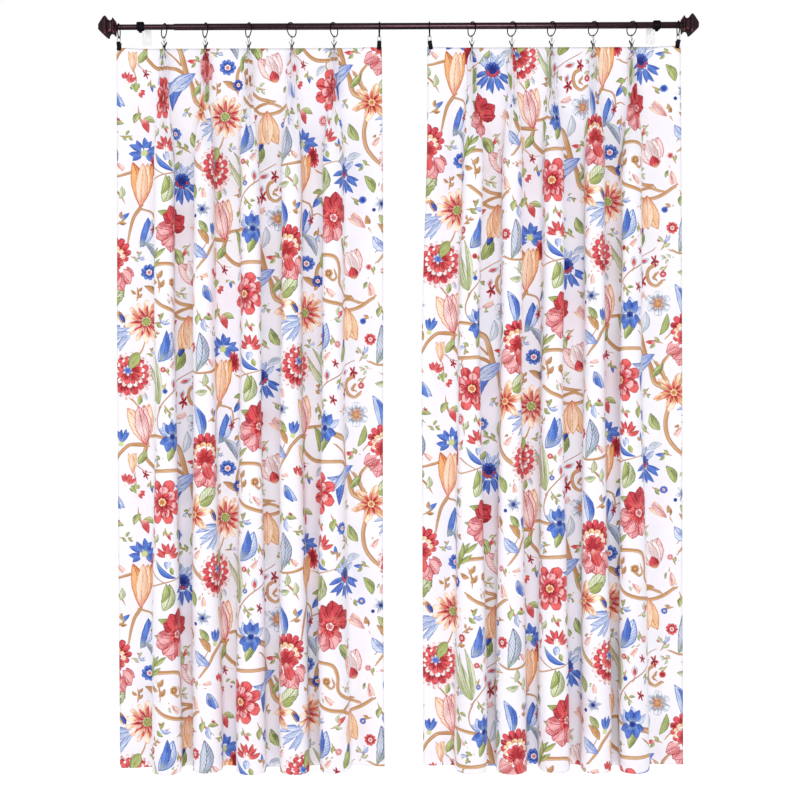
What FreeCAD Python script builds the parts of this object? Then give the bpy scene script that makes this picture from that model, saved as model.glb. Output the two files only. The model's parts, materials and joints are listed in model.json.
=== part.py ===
"""A pair of pinch-pleated curtains hung by clip rings from a telescoping rod.

Millimetres.  The origin lies on the wall, midway between the two brackets and
at the height of the rod's axis.  +X points right, -Y into the room, +Z up.
"""
import FreeCAD, Part

import math
import os

V = FreeCAD.Vector
UP = V(0, 0, 1)
RIGHT = V(1, 0, 0)
TO_WALL = V(0, 1, 0)
ORIGIN = V(0, 0, 0)

# --- overall -------------------------------------------------------------
BRACKET_SPACING = 1530.0        # between the two bracket centres
ROD_PROJECTION = 90.0           # wall to rod axis
ROD_OVERHANG = 70.0             # bracket centre to the end of the rod
CLOTH_DROP = 2134.0             # finished height of a curtain

# --- telescoping rod -----------------------------------------------------
OUTER_TUBE_DIA = 19.0
OUTER_TUBE_WALL = 1.2
INNER_TUBE_WALL = 1.0
THIN_TUBE_SHOWN = 170.0         # of the inner tube, at the left end
TELESCOPE_CLEARANCE = 0.3       # radial, between the two tubes

# --- finials, square in section ------------------------------------------
FINIAL_NECK_LENGTH = 2.0
FINIAL_COLLAR_SIDE = 44.0
FINIAL_COLLAR_AT = 6.0          # from the end of the rod
FINIAL_COLLAR_RIM = 2.5
FINIAL_WAIST_SIDE = 32.0
FINIAL_WAIST_AT = 16.5
FINIAL_CROWN_SIDE = 53.0
FINIAL_CROWN_AT = 27.5
FINIAL_CROWN_RIM = 4.0
FINIAL_TIP_SIDE = 14.0
FINIAL_LENGTH = 54.0
FINIAL_TIP_BULGE = 1.2          # the crown's slopes are a little convex
SPIGOT_LENGTH = 22.0            # the finial's plug inside the tube
SPIGOT_CLEARANCE = 0.05

# --- brackets ------------------------------------------------------------
BARREL_WALL = 3.25
BARREL_CLEARANCE = 0.75         # radial, round the thick tube
BARREL_LENGTH = 20.0
BARREL_CHAMFER = 1.2
CRADLE_CLEARANCE = 0.3          # between the tube and the floor of the barrel
ARM_DIA = 12.0
TENON_DIA = 9.9
TENON_CLEARANCE = 0.05
TENON_SEAT = 3.0                # metal left behind the tenon, next to the wall
PLATE_WIDTH = 26.0
PLATE_HEIGHT = 62.0
PLATE_THICKNESS = 5.0
PLATE_CORNER = 4.0
BOSS_DIA = 22.0
BOSS_LENGTH = 9.0
WALL_HOLE_DIA = 5.0
WALL_HOLE_FROM_END = 9.0        # hole's centre to the end of the plate
COUNTERSINK_DIA = 9.5
COUNTERSINK_DEPTH = 2.2
ROD_SCREW_DIA = 3.9
ROD_SCREW_HEAD_DIA = 10.0
ROD_SCREW_HEAD_HEIGHT = 4.0
ROD_SCREW_SLOT = 1.0
ROD_SCREW_SLOT_DEPTH = 1.2
ROD_SCREW_HEAD_GAP = 0.3
ARM_SCREW_DIA = 3.9
ARM_SCREW_LENGTH = 5.0
SCREW_CLEARANCE = 0.05          # radial, screws in their threaded holes

# --- clip rings ----------------------------------------------------------
RING_OUTER_DIA = 45.0
RING_WIRE_DIA = 3.2
RING_SEAT_GAP = 0.3             # ring's inside to the top of the tube
LINK_WIRE_DIA = 1.5
LINK_WIDTH = 10.5
LINK_LENGTH = 16.75             # outside
LINK_SLACK = 0.3                # link to the ring wire it hangs from
STRAP_THICKNESS = 0.8
STRAP_WIDTH = 1.8
STRAP_LENGTH = 13.2             # between its two holes
STRAP_HOLE_DIA = 3.4
STRAP_METAL = 0.9               # round either hole
STRAP_SEAT_GAP = 0.15           # link wire to the top of the strap's hole
CLIP_WIDTH = 12.4
CLIP_SHEET = 1.0
CLIP_DEPTH = 12.7               # pivot to the mouth of the jaws
CLIP_KNEE_DROP = 0.5            # pivot to where the jaws run straight
CLIP_KNEE_RADIUS = 4.0
CLIP_HANDLE_LENGTH = 11.5
CLIP_HANDLE_SPLAY = 24.0        # degrees off the vertical
CLIP_LIP_RADIUS = 2.0
CLIP_LIP_SPLAY = 30.0
CLOTH_BELOW_PIVOT = 5.0         # pivot to the top edge of the cloth
PIN_DIA = 1.6
PIN_HEAD_OVERLAP = 0.5          # radial
PIN_HEAD = 0.4
PIN_CLEARANCE = 0.05
EAR_METAL = 1.0                 # round the pin
EAR_THICKNESS = 0.8
EAR_GAP = 0.2
COIL_WIRE_DIA = 0.9             # of the torsion spring
COIL_GAP = 0.1                  # between the turns and the strap or ear
JAW_CLEARANCE = 0.3             # jaw to the cloth that it grips

# --- curtains ------------------------------------------------------------
EDGE_RING_FROM_END = 6.0        # outermost ring to the end of the rod
LEFT_LEAD_RING_X = -57.0        # the two rings nearest the middle
RIGHT_LEAD_RING_X = 91.6
EDGE_RING_INSET = 7.0           # cloth edge beyond the ring that holds it
END_PLEAT_GAP = 134.0           # end ring to the nearest pleat
LEFT_PLEAT_NUDGES = (0.0, -4.0, -2.0, 0.0, -0.5)
RIGHT_PLEAT_NUDGES = (-8.6, -7.2, -6.8, -0.4, -4.0)
# how far each ring is turned from square to the rod, and each clip tilted
LEFT_RING_YAWS = (3.0, 33.0, 29.0, 31.0, -34.0, -29.0, 4.0)
RIGHT_RING_YAWS = (-4.0, 30.0, 33.0, 28.0, 34.0, 31.0, -3.0)
LEFT_CLIP_TILTS = (-2.0, 0.0, 0.0, 0.0, 0.0, 0.0, 3.0)
RIGHT_CLIP_TILTS = (-10.0, 0.0, 0.0, 0.0, 0.0, 0.0, 9.0)
CLOTH_THICKNESS = 1.6
SIDE_HEM_WIDTH = 38.0
GRIPPED_THICKNESS = 3.4         # of a side hem and of a pinched pleat
HEADER_HEIGHT = 100.0
HEADER_BEHIND_ROD = 8.0         # the header lies this far nearer the wall
PINCH_DEPTH = 17.5
FLARE_HEIGHT = 258.0            # below the header, where a pinch opens out
BUDDED_FOLD = {"half_width": 4.0, "root_radius": 2.0, "side": 11.5}
OPEN_FOLD_ROOT_RADIUS = 14.0
OPEN_FOLD_SIDE = 17.0
OPEN_FOLD_SPARE = 1.75          # flat strip between the two closest folds
SWERVE_RADIUS = 20.0
LAYER_GAP = 0.3
BUCKRAM_THICKNESS = 0.8
BUCKRAM_INSET = 2.0
LINING_THICKNESS = 0.8
LINING_HEM_LIFT = 25.0

# --- sizes that follow ---------------------------------------------------
BRACKET_X = BRACKET_SPACING / 2
ROD_END_X = BRACKET_X + ROD_OVERHANG
ROD_Y = -ROD_PROJECTION
STEP_X = THIN_TUBE_SHOWN - ROD_END_X        # where the thick tube begins
TUBE_LENGTH = ROD_END_X - STEP_X            # both tubes are cut alike
OUTER_TUBE_RADIUS = OUTER_TUBE_DIA / 2
OUTER_TUBE_BORE = OUTER_TUBE_RADIUS - OUTER_TUBE_WALL
INNER_TUBE_RADIUS = OUTER_TUBE_BORE - TELESCOPE_CLEARANCE
INNER_TUBE_BORE = INNER_TUBE_RADIUS - INNER_TUBE_WALL
BARREL_BORE = OUTER_TUBE_RADIUS + BARREL_CLEARANCE
BARREL_RADIUS = BARREL_BORE + BARREL_WALL
RING_WIRE_RADIUS = RING_WIRE_DIA / 2
RING_RADIUS = RING_OUTER_DIA / 2 - RING_WIRE_RADIUS
RING_CENTRE_DROP = RING_RADIUS - RING_WIRE_RADIUS - RING_SEAT_GAP   # below the tube's top
RING_FLOOR = OUTER_TUBE_RADIUS - RING_CENTRE_DROP - RING_RADIUS + RING_WIRE_RADIUS
LINK_TOP = RING_FLOOR + LINK_SLACK + LINK_WIRE_DIA
LINK_BOTTOM = LINK_TOP - LINK_LENGTH
STRAP_HOLE_Z = LINK_BOTTOM + LINK_WIRE_DIA + STRAP_SEAT_GAP - STRAP_HOLE_DIA / 2
PIVOT_Z = STRAP_HOLE_Z - STRAP_LENGTH
CLIP_BOTTOM = PIVOT_Z - CLIP_DEPTH
PIN_RADIUS = PIN_DIA / 2
PIN_BORE = PIN_RADIUS + PIN_CLEARANCE
JAW_INSIDE = GRIPPED_THICKNESS / 2 + JAW_CLEARANCE
JAW_MIDDLE = JAW_INSIDE + CLIP_SHEET / 2
CLIP_TURN_AT_PLEAT = 90.0
HEADER_Y = ROD_Y + HEADER_BEHIND_ROD
CLOTH_TOP = PIVOT_Z - CLOTH_BELOW_PIVOT
CLOTH_BOTTOM = CLOTH_TOP - CLOTH_DROP
HEADER_BOTTOM = CLOTH_TOP - HEADER_HEIGHT
FLARE_BOTTOM = HEADER_BOTTOM - FLARE_HEIGHT
HALF = 0.5


# --- shape helpers -------------------------------------------------------
def rod(start, direction, radius, length):
    """A solid cylinder."""
    return Part.makeCylinder(radius, length, start, direction)


def tube(x_from, x_to, radius, bore):
    """A tube along the rod's axis."""
    start = V(x_from, ROD_Y, 0)
    length = x_to - x_from
    return rod(start, RIGHT, radius, length).cut(rod(start, RIGHT, bore, length))


def block(x, y, z):
    """A box from three (low, high) pairs."""
    size = (x[1] - x[0], y[1] - y[0], z[1] - z[0])
    return Part.makeBox(*size, V(x[0], y[0], z[0]))


def fused(shapes):
    """All the shapes as one solid, with coplanar faces merged."""
    whole = shapes[0].multiFuse(shapes[1:]) if len(shapes) > 1 else shapes[0]
    return whole.removeSplitter()


def turned(shape, centre, axis, degrees):
    """A copy of the shape turned about an axis."""
    copy = shape.copy()
    copy.rotate(centre, axis, degrees)
    return copy


def moved(shape, offset):
    """A copy of the shape moved by a vector."""
    copy = shape.copy()
    copy.translate(offset)
    return copy


def offset_path(start, heading, moves, offset):
    """Edges of a plan path, shifted to its left by offset.

    A move is (length, 0) for a straight or (radius, degrees) for an arc,
    counted to the left.
    """
    x, y = start
    angle = math.radians(heading)
    edges = []
    for size, turn in moves:
        left = (-math.sin(angle), math.cos(angle))
        here = V(x + offset * left[0], y + offset * left[1], 0)
        if turn == 0:
            x += size * math.cos(angle)
            y += size * math.sin(angle)
            there = V(x + offset * left[0], y + offset * left[1], 0)
            edges.append(Part.LineSegment(here, there).toShape())
            continue
        side = math.copysign(1, turn)
        centre = (x + side * size * left[0], y + side * size * left[1])
        radius = size - side * offset
        points = []
        for share in (0, HALF, 1):
            reach = angle + math.radians(turn) * share
            out = (side * math.sin(reach), -side * math.cos(reach))
            points.append(V(centre[0] + radius * out[0], centre[1] + radius * out[1], 0))
        edges.append(Part.Arc(*points).toShape())
        angle += math.radians(turn)
        x = centre[0] + size * side * math.sin(angle)
        y = centre[1] - size * side * math.cos(angle)
    return edges


def ribbon(start, heading, moves, thickness):
    """The closed outline of a strip that follows a path."""
    left = offset_path(start, heading, moves, thickness / 2)
    right = offset_path(start, heading, moves, -thickness / 2)
    cap_far = Part.LineSegment(left[-1].lastVertex().Point, right[-1].lastVertex().Point)
    cap_near = Part.LineSegment(right[0].firstVertex().Point, left[0].firstVertex().Point)
    return Part.Wire(left + [cap_far.toShape()] + right[::-1] + [cap_near.toShape()])


def swerve(run, shift, radius):
    """Moves that carry a path sideways by shift within a straight run."""
    straight = math.sqrt(run ** 2 + (shift - 2 * radius) ** 2 - 4 * radius ** 2)
    angle = math.atan2(shift - 2 * radius, run) - math.atan2(-2 * radius, straight)
    degrees = math.degrees(angle)
    return [(radius, degrees), (straight, 0), (radius, -degrees)]


# --- rod -----------------------------------------------------------------
def finial(tube_bore):
    """A square finial on its plug, pointing along +X from the rod's end."""
    neck = OUTER_TUBE_RADIUS
    collar = FINIAL_COLLAR_SIDE / 2
    waist = FINIAL_WAIST_SIDE / 2
    crown = FINIAL_CROWN_SIDE / 2
    tip = FINIAL_TIP_SIDE / 2
    collar_end = FINIAL_COLLAR_AT + FINIAL_COLLAR_RIM
    crown_end = FINIAL_CROWN_AT + FINIAL_CROWN_RIM
    slope_middle = V((crown_end + FINIAL_LENGTH) / 2 + FINIAL_TIP_BULGE / 2,
                     (crown + tip) / 2 + FINIAL_TIP_BULGE, 0)

    def line(*points):
        return [Part.LineSegment(V(*a), V(*b)).toShape() for a, b in zip(points, points[1:])]

    cove = Part.Arc(V(collar_end, collar, 0), V(FINIAL_WAIST_AT, waist, 0),
                    V(FINIAL_CROWN_AT, crown, 0)).toShape()
    slope = Part.Arc(V(crown_end, crown, 0), slope_middle, V(FINIAL_LENGTH, tip, 0)).toShape()
    upper = line((0, 0), (0, neck), (FINIAL_NECK_LENGTH, neck),
                 (FINIAL_COLLAR_AT, collar), (collar_end, collar))
    upper += [cove] + line((FINIAL_CROWN_AT, crown), (crown_end, crown)) + [slope]
    upper += line((FINIAL_LENGTH, tip), (FINIAL_LENGTH, 0), (0, 0))
    half = Part.Face(Part.Wire(upper)).extrude(V(0, 0, FINIAL_CROWN_SIDE))
    half.translate(V(0, 0, -crown))
    one_way = fused([half, turned(half, ORIGIN, RIGHT, 180)])
    body = one_way.common(turned(one_way, ORIGIN, RIGHT, 90)).removeSplitter()
    plug = rod(V(-SPIGOT_LENGTH, 0, 0), RIGHT, tube_bore - SPIGOT_CLEARANCE,
               SPIGOT_LENGTH + FINIAL_NECK_LENGTH)
    return fused([body, plug])


def rod_pieces():
    """The two tubes and the finial on the end of each."""
    left = finial(INNER_TUBE_BORE).mirror(ORIGIN, RIGHT)
    return {
        "rod_outer_tube": tube(STEP_X, ROD_END_X, OUTER_TUBE_RADIUS, OUTER_TUBE_BORE),
        "rod_inner_tube": tube(-ROD_END_X, -ROD_END_X + TUBE_LENGTH,
                               INNER_TUBE_RADIUS, INNER_TUBE_BORE),
        "right_finial": moved(finial(OUTER_TUBE_BORE), V(ROD_END_X, ROD_Y, 0)),
        "left_finial": moved(left, V(-ROD_END_X, ROD_Y, 0)),
    }


# --- brackets ------------------------------------------------------------
def wall_plate():
    """The plate with its boss and screw holes, its back on the wall."""
    plate = block((-PLATE_WIDTH / 2, PLATE_WIDTH / 2), (-PLATE_THICKNESS, 0),
                  (-PLATE_HEIGHT / 2, PLATE_HEIGHT / 2))
    corners = [e for e in plate.Edges if abs(e.tangentAt(e.FirstParameter).y) > HALF]
    plate = plate.makeFillet(PLATE_CORNER, corners)
    front = V(0, -PLATE_THICKNESS, 0)
    boss = rod(front, -TO_WALL, BOSS_DIA / 2, BOSS_LENGTH)
    depth = PLATE_THICKNESS + BOSS_LENGTH - TENON_SEAT
    socket = rod(V(0, -PLATE_THICKNESS - BOSS_LENGTH, 0), TO_WALL,
                 TENON_DIA / 2 + TENON_CLEARANCE, depth)
    tapped = rod(V(0, arm_screw_y(), -BOSS_DIA), UP, ARM_SCREW_DIA / 2 + SCREW_CLEARANCE, BOSS_DIA)
    body = fused([plate, boss]).cut(socket).cut(tapped)
    for side in (-1, 1):
        height = side * (PLATE_HEIGHT / 2 - WALL_HOLE_FROM_END)
        body = body.cut(rod(V(0, 0, height), -TO_WALL, WALL_HOLE_DIA / 2, PLATE_THICKNESS))
        flare = Part.makeCone(COUNTERSINK_DIA / 2, WALL_HOLE_DIA / 2, COUNTERSINK_DEPTH,
                              V(0, -PLATE_THICKNESS, height), TO_WALL)
        body = body.cut(flare)
    return body


def arm_screw_y():
    """Where the grub screw crosses the boss."""
    return -PLATE_THICKNESS - BOSS_LENGTH / 2


def bracket_arm():
    """The arm with its barrel, and its tenon for the plate."""
    barrel = rod(V(-BARREL_LENGTH / 2, ROD_Y, 0), RIGHT, BARREL_RADIUS, BARREL_LENGTH)
    barrel = barrel.makeChamfer(BARREL_CHAMFER, [e for e in barrel.Edges if len(e.Vertexes) == 1])
    boss_front = -PLATE_THICKNESS - BOSS_LENGTH
    arm = rod(V(0, boss_front, 0), -TO_WALL, ARM_DIA / 2, boss_front - ROD_Y)
    tenon = rod(V(0, -TENON_SEAT, 0), -TO_WALL, TENON_DIA / 2, -boss_front - TENON_SEAT)
    body = fused([barrel, arm, tenon])
    bore = rod(V(-BARREL_LENGTH, ROD_Y, 0), RIGHT, BARREL_BORE, 2 * BARREL_LENGTH)
    screw_hole = rod(V(0, ROD_Y, -2 * BARREL_RADIUS), UP,
                     ROD_SCREW_DIA / 2 + SCREW_CLEARANCE, 2 * BARREL_RADIUS)
    return body.cut(bore).cut(screw_hole)


def rod_screw():
    """The thumb screw under the barrel that locks the rod."""
    head_top = -BARREL_RADIUS - ROD_SCREW_HEAD_GAP
    head_bottom = head_top - ROD_SCREW_HEAD_HEIGHT
    head = rod(V(0, ROD_Y, head_bottom), UP, ROD_SCREW_HEAD_DIA / 2, ROD_SCREW_HEAD_HEIGHT)
    shank = rod(V(0, ROD_Y, head_top), UP, ROD_SCREW_DIA / 2, -BARREL_BORE - head_top)
    half_slot = ROD_SCREW_SLOT / 2
    slot = block((-ROD_SCREW_HEAD_DIA, ROD_SCREW_HEAD_DIA),
                 (ROD_Y - half_slot, ROD_Y + half_slot),
                 (head_bottom, head_bottom + ROD_SCREW_SLOT_DEPTH))
    return fused([head, shank]).cut(slot)


def arm_screw():
    """The grub screw that holds the arm in the plate's boss."""
    tip = -TENON_DIA / 2
    return rod(V(0, arm_screw_y(), tip - ARM_SCREW_LENGTH), UP, ARM_SCREW_DIA / 2, ARM_SCREW_LENGTH)


def bracket_pieces():
    """Both brackets, each set so that its tube lies level on the barrel."""
    makers = {"bracket_plate": wall_plate, "bracket_arm": bracket_arm,
              "rod_screw": rod_screw, "arm_screw": arm_screw}
    tube_radius = {"left": INNER_TUBE_RADIUS, "right": OUTER_TUBE_RADIUS}
    places = {"left": -BRACKET_X, "right": BRACKET_X}
    pieces = {}
    for hand, radius in tube_radius.items():
        lift = barrel_lift(radius)
        for name, maker in makers.items():
            pieces[hand + "_" + name] = moved(maker(), V(places[hand], 0, lift))
    return pieces


def barrel_lift(tube_radius):
    """How far a barrel's centre stands above the tube that lies in it."""
    return BARREL_BORE - tube_radius - CRADLE_CLEARANCE


# --- clip rings ----------------------------------------------------------
def ring_height(x):
    """Height of a ring's centre: it hangs on the tube that passes through it."""
    radius = OUTER_TUBE_RADIUS if x > STEP_X else INNER_TUBE_RADIUS
    return radius - RING_CENTRE_DROP


def ring(x, yaw):
    """A closed wire ring turned by yaw from square to the rod."""
    normal = V(math.cos(math.radians(yaw)), math.sin(math.radians(yaw)), 0)
    return Part.makeTorus(RING_RADIUS, RING_WIRE_RADIUS, V(x, ROD_Y, ring_height(x)), normal)


def link(yaw):
    """The oval wire link between a ring and its clip, about the Z axis."""
    bend = LINK_WIDTH / 2 - LINK_WIRE_DIA / 2
    wire = LINK_WIRE_DIA / 2
    top = LINK_TOP - LINK_WIDTH / 2
    bottom = LINK_BOTTOM + LINK_WIDTH / 2
    pieces = []
    for side in (-1, 1):
        pieces.append(rod(V(side * bend, 0, bottom), UP, wire, top - bottom))
    for height, sense in ((top, -TO_WALL), (bottom, TO_WALL)):
        circle = Part.Wire(Part.makeCircle(wire, V(bend, 0, height), UP))
        pieces.append(Part.Face(circle).revolve(V(0, 0, height), sense, 180))
    return turned(fused(pieces), ORIGIN, UP, yaw)


def eye(metal, length, middle):
    """A short tube on the pivot pin, which runs along Y."""
    start = V(0, middle - length / 2, PIVOT_Z)
    solid = rod(start, TO_WALL, PIN_RADIUS + metal, length)
    return solid.cut(rod(start, TO_WALL, PIN_BORE, length))


def clip_half(ear_middle):
    """One side of a clip: handle, jaw and two ears, on the +X side."""
    lip_rise = CLIP_LIP_RADIUS * math.sin(math.radians(CLIP_LIP_SPLAY))
    lip_reach = CLIP_LIP_RADIUS * (1 - math.cos(math.radians(CLIP_LIP_SPLAY)))
    jaw = CLIP_DEPTH - CLIP_KNEE_DROP - lip_rise
    moves = [(CLIP_LIP_RADIUS, -CLIP_LIP_SPLAY), (jaw, 0),
             (CLIP_KNEE_RADIUS, -CLIP_HANDLE_SPLAY), (CLIP_HANDLE_LENGTH, 0)]
    start = (JAW_MIDDLE + lip_reach, CLIP_BOTTOM)
    outline = ribbon(start, 90 + CLIP_LIP_SPLAY, moves, CLIP_SHEET)
    plate = Part.Face(outline).extrude(V(0, 0, CLIP_WIDTH))
    plate.translate(V(0, 0, -CLIP_WIDTH / 2))
    pieces = [turned(plate, ORIGIN, RIGHT, 90)]
    radius = PIN_RADIUS + EAR_METAL
    for side in (-1, 1):
        middle = side * ear_middle
        start = V(0, middle - EAR_THICKNESS / 2, PIVOT_Z)
        web = block((0, JAW_MIDDLE), (middle - EAR_THICKNESS / 2, middle + EAR_THICKNESS / 2),
                    (PIVOT_Z - radius, PIVOT_Z + radius))
        ear = fused([web, rod(start, TO_WALL, radius, EAR_THICKNESS)])
        pieces.append(ear.cut(rod(start, TO_WALL, PIN_BORE, EAR_THICKNESS)))
    return fused(pieces)


def clip_strap():
    """The strap that hangs on the link and turns on the pivot pin."""
    half = STRAP_THICKNESS / 2
    body = block((-STRAP_WIDTH / 2, STRAP_WIDTH / 2), (-half, half), (PIVOT_Z, STRAP_HOLE_Z))
    holes = ((STRAP_HOLE_Z, STRAP_HOLE_DIA / 2, STRAP_HOLE_DIA / 2), (PIVOT_Z, PIN_RADIUS, PIN_BORE))
    discs = [rod(V(0, -half, z), TO_WALL, radius + STRAP_METAL, STRAP_THICKNESS)
             for z, radius, bore in holes]
    body = fused([body] + discs)
    for z, radius, bore in holes:
        body = body.cut(rod(V(0, -half, z), TO_WALL, bore, STRAP_THICKNESS))
    return body


def pivot_pin():
    """The headed pin through both halves."""
    reach = CLIP_WIDTH / 2
    start = V(0, -reach, PIVOT_Z)
    pieces = [rod(start, TO_WALL, PIN_RADIUS, CLIP_WIDTH)]
    for side in (-1, 1):
        place = V(0, side * reach, PIVOT_Z)
        pieces.append(rod(place, TO_WALL * side, PIN_RADIUS + PIN_HEAD_OVERLAP, PIN_HEAD))
    return fused(pieces)


def clip_ring(x, yaw, tilt, at_pleat):
    """The ring, the clip that hangs from it and the clip's sprung jaw."""
    clip_turn = CLIP_TURN_AT_PLEAT if at_pleat else 0.0
    link_yaw = (yaw + math.copysign(clip_turn, yaw)) / 2
    outer_ear = CLIP_WIDTH / 2 - EAR_THICKNESS / 2
    inner_ear = outer_ear - EAR_THICKNESS - EAR_GAP
    coil_from = STRAP_THICKNESS / 2 + COIL_GAP
    coil_to = inner_ear - EAR_THICKNESS / 2 - COIL_GAP
    fixed_half = clip_half(outer_ear).mirror(ORIGIN, RIGHT)
    jaw = clip_half(inner_ear)
    hanging = [fixed_half, clip_strap(), pivot_pin()]
    for side in (-1, 1):
        hanging.append(eye(COIL_WIRE_DIA, coil_to - coil_from,
                           side * (coil_from + coil_to) / 2))
    facing = clip_turn - CLIP_TURN_AT_PLEAT
    swing_point = V(0, 0, STRAP_HOLE_Z)
    place = V(x, ROD_Y, 0)

    def hung(shape):
        faced = turned(shape, ORIGIN, UP, facing)
        return moved(turned(faced, swing_point, TO_WALL, tilt), place)

    return {
        "ring": ring(x, yaw),
        "clip": Part.makeCompound([hung(s) for s in hanging] + [moved(link(link_yaw), place)]),
        "clip_jaw": hung(jaw),
    }


def ring_places(hand):
    """X of a curtain's seven rings, from the finial towards the middle."""
    side = {"left": -1, "right": 1}[hand]
    edge = side * (ROD_END_X - EDGE_RING_FROM_END)
    lead = {"left": LEFT_LEAD_RING_X, "right": RIGHT_LEAD_RING_X}[hand]
    nudges = {"left": LEFT_PLEAT_NUDGES, "right": RIGHT_PLEAT_NUDGES[::-1]}[hand]
    first = edge - side * END_PLEAT_GAP
    last = lead + side * END_PLEAT_GAP
    pitch = (last - first) / (len(nudges) - 1)
    pleats = [first + pitch * i + nudge for i, nudge in enumerate(nudges)]
    return [edge] + pleats + [lead]


def ring_pieces():
    """All fourteen clip rings, numbered from the finial inwards."""
    yaws = {"left": LEFT_RING_YAWS, "right": RIGHT_RING_YAWS[::-1]}
    tilts = {"left": LEFT_CLIP_TILTS, "right": RIGHT_CLIP_TILTS[::-1]}
    pieces = {}
    for hand in ("left", "right"):
        places = ring_places(hand)
        for i, x in enumerate(places):
            at_pleat = 0 < i < len(places) - 1
            made = clip_ring(x, yaws[hand][i], tilts[hand][i], at_pleat)
            for name, shape in made.items():
                pieces["%s_%s_%d" % (hand, name, i + 1)] = shape
    return pieces


# --- curtains ------------------------------------------------------------
def fold_moves(edges, pleats, fold):
    """Plan path of a curtain from its left edge to its right edge."""
    half = fold["half_width"]
    root = fold["root_radius"]
    side = fold["side"]
    roots = half + root
    start_run = pleats[0] - roots - edges[0] - SIDE_HEM_WIDTH
    end_run = edges[1] - SIDE_HEM_WIDTH - pleats[-1] - roots
    moves = [(SIDE_HEM_WIDTH, 0)] + swerve(start_run, HEADER_BEHIND_ROD, SWERVE_RADIUS)
    for i, pleat in enumerate(pleats):
        if i > 0:
            moves.append((pleat - pleats[i - 1] - 2 * roots, 0))
        moves += [(root, -90), (side, 0), (half, 180), (side, 0), (root, -90)]
    back = [(size, -turn) for size, turn in swerve(end_run, HEADER_BEHIND_ROD, SWERVE_RADIUS)]
    return moves + back + [(SIDE_HEM_WIDTH, 0)]


def cloth_outline(edges, pleats, fold, height):
    """The cloth's outline in plan at one height."""
    wire = ribbon((edges[0], ROD_Y), 0, fold_moves(edges, pleats, fold), CLOTH_THICKNESS)
    wire.translate(V(0, 0, height))
    return wire


def header(edges, pleats):
    """The flat top band with its pinched pleats."""
    half = CLOTH_THICKNESS / 2
    run = pleats[0] - edges[0] - SIDE_HEM_WIDTH
    back_run = edges[1] - SIDE_HEM_WIDTH - pleats[-1]
    back = [(size, -turn) for size, turn in swerve(back_run, HEADER_BEHIND_ROD, SWERVE_RADIUS)]
    moves = [(SIDE_HEM_WIDTH, 0)] + swerve(run, HEADER_BEHIND_ROD, SWERVE_RADIUS)
    moves += [(pleats[-1] - pleats[0], 0)] + back + [(SIDE_HEM_WIDTH, 0)]
    band = Part.Face(ribbon((edges[0], ROD_Y), 0, moves, CLOTH_THICKNESS))
    band = band.extrude(V(0, 0, HEADER_HEIGHT))
    band.translate(V(0, 0, HEADER_BOTTOM))
    grip = GRIPPED_THICKNESS / 2
    pinches = [block((x - grip, x + grip), (HEADER_Y - PINCH_DEPTH, HEADER_Y + half),
                     (HEADER_BOTTOM, CLOTH_TOP)) for x in pleats]
    return [band] + pinches


def side_hems(edges):
    """The doubled strips down both edges of a curtain."""
    grip = GRIPPED_THICKNESS / 2
    return [block((x, x + SIDE_HEM_WIDTH), (ROD_Y - grip, ROD_Y + grip), (CLOTH_BOTTOM, CLOTH_TOP))
            for x in (edges[0], edges[1] - SIDE_HEM_WIDTH)]


def open_fold():
    """The open fold that the two closest pleats leave room for."""
    pitches = []
    for hand in ("left", "right"):
        pleats = sorted(ring_places(hand))[1:-1]
        pitches += [b - a for a, b in zip(pleats, pleats[1:])]
    half_width = (min(pitches) - OPEN_FOLD_SPARE) / 2 - OPEN_FOLD_ROOT_RADIUS
    return {"half_width": half_width, "root_radius": OPEN_FOLD_ROOT_RADIUS, "side": OPEN_FOLD_SIDE}


def curtain_pieces():
    """Face cloth, stiff header strip and lining of both curtains."""
    pieces = {}
    for hand in ("left", "right"):
        places = sorted(ring_places(hand))
        edges = (places[0] - EDGE_RING_INSET, places[-1] + EDGE_RING_INSET)
        pleats = places[1:-1]
        budded = cloth_outline(edges, pleats, BUDDED_FOLD, HEADER_BOTTOM)
        opened = cloth_outline(edges, pleats, open_fold(), FLARE_BOTTOM)
        flare = Part.makeLoft([opened, budded], True, True)
        fall = Part.Face(opened).extrude(V(0, 0, CLOTH_BOTTOM - FLARE_BOTTOM))
        cloth = fused(header(edges, pleats) + [flare, fall] + side_hems(edges))
        inner = (edges[0] + SIDE_HEM_WIDTH, edges[1] - SIDE_HEM_WIDTH)
        buckram_front = HEADER_Y + CLOTH_THICKNESS / 2 + LAYER_GAP
        buckram_back = buckram_front + BUCKRAM_THICKNESS
        lining_front = buckram_back + LAYER_GAP
        band = (HEADER_BOTTOM, CLOTH_TOP - BUCKRAM_INSET)
        fall_band = (CLOTH_BOTTOM + LINING_HEM_LIFT, CLOTH_TOP - BUCKRAM_INSET)
        pieces[hand + "_panel"] = cloth
        pieces[hand + "_header_strip"] = block(inner, (buckram_front, buckram_back), band)
        pieces[hand + "_lining"] = block(inner, (lining_front, lining_front + LINING_THICKNESS),
                                         fall_band)
    return pieces


def main():
    """Build every piece and write one STEP file for each."""
    os.makedirs("parts", exist_ok=True)
    pieces = {}
    for maker in (rod_pieces, bracket_pieces, ring_pieces, curtain_pieces):
        pieces.update(maker())
    for name, shape in pieces.items():
        shape.exportStep("parts/%s.step" % name)
        state = "ok" if shape.isValid() else "INVALID"
        print("%-22s solids %d  volume %10.1f  %s" % (name, len(shape.Solids), shape.Volume, state))
    print(len(pieces), "nodes")


main()
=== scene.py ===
"""A pair of printed, pinch-pleated curtains on clip rings and a bronze telescoping rod."""
import json
import logging
from collections.abc import Callable, Sequence
from dataclasses import dataclass, field
from enum import Enum
from math import atan2, cos, degrees, hypot, pi, radians, sin

import bmesh
import bpy
import numpy as np
from mathutils import Matrix, Vector

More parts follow.
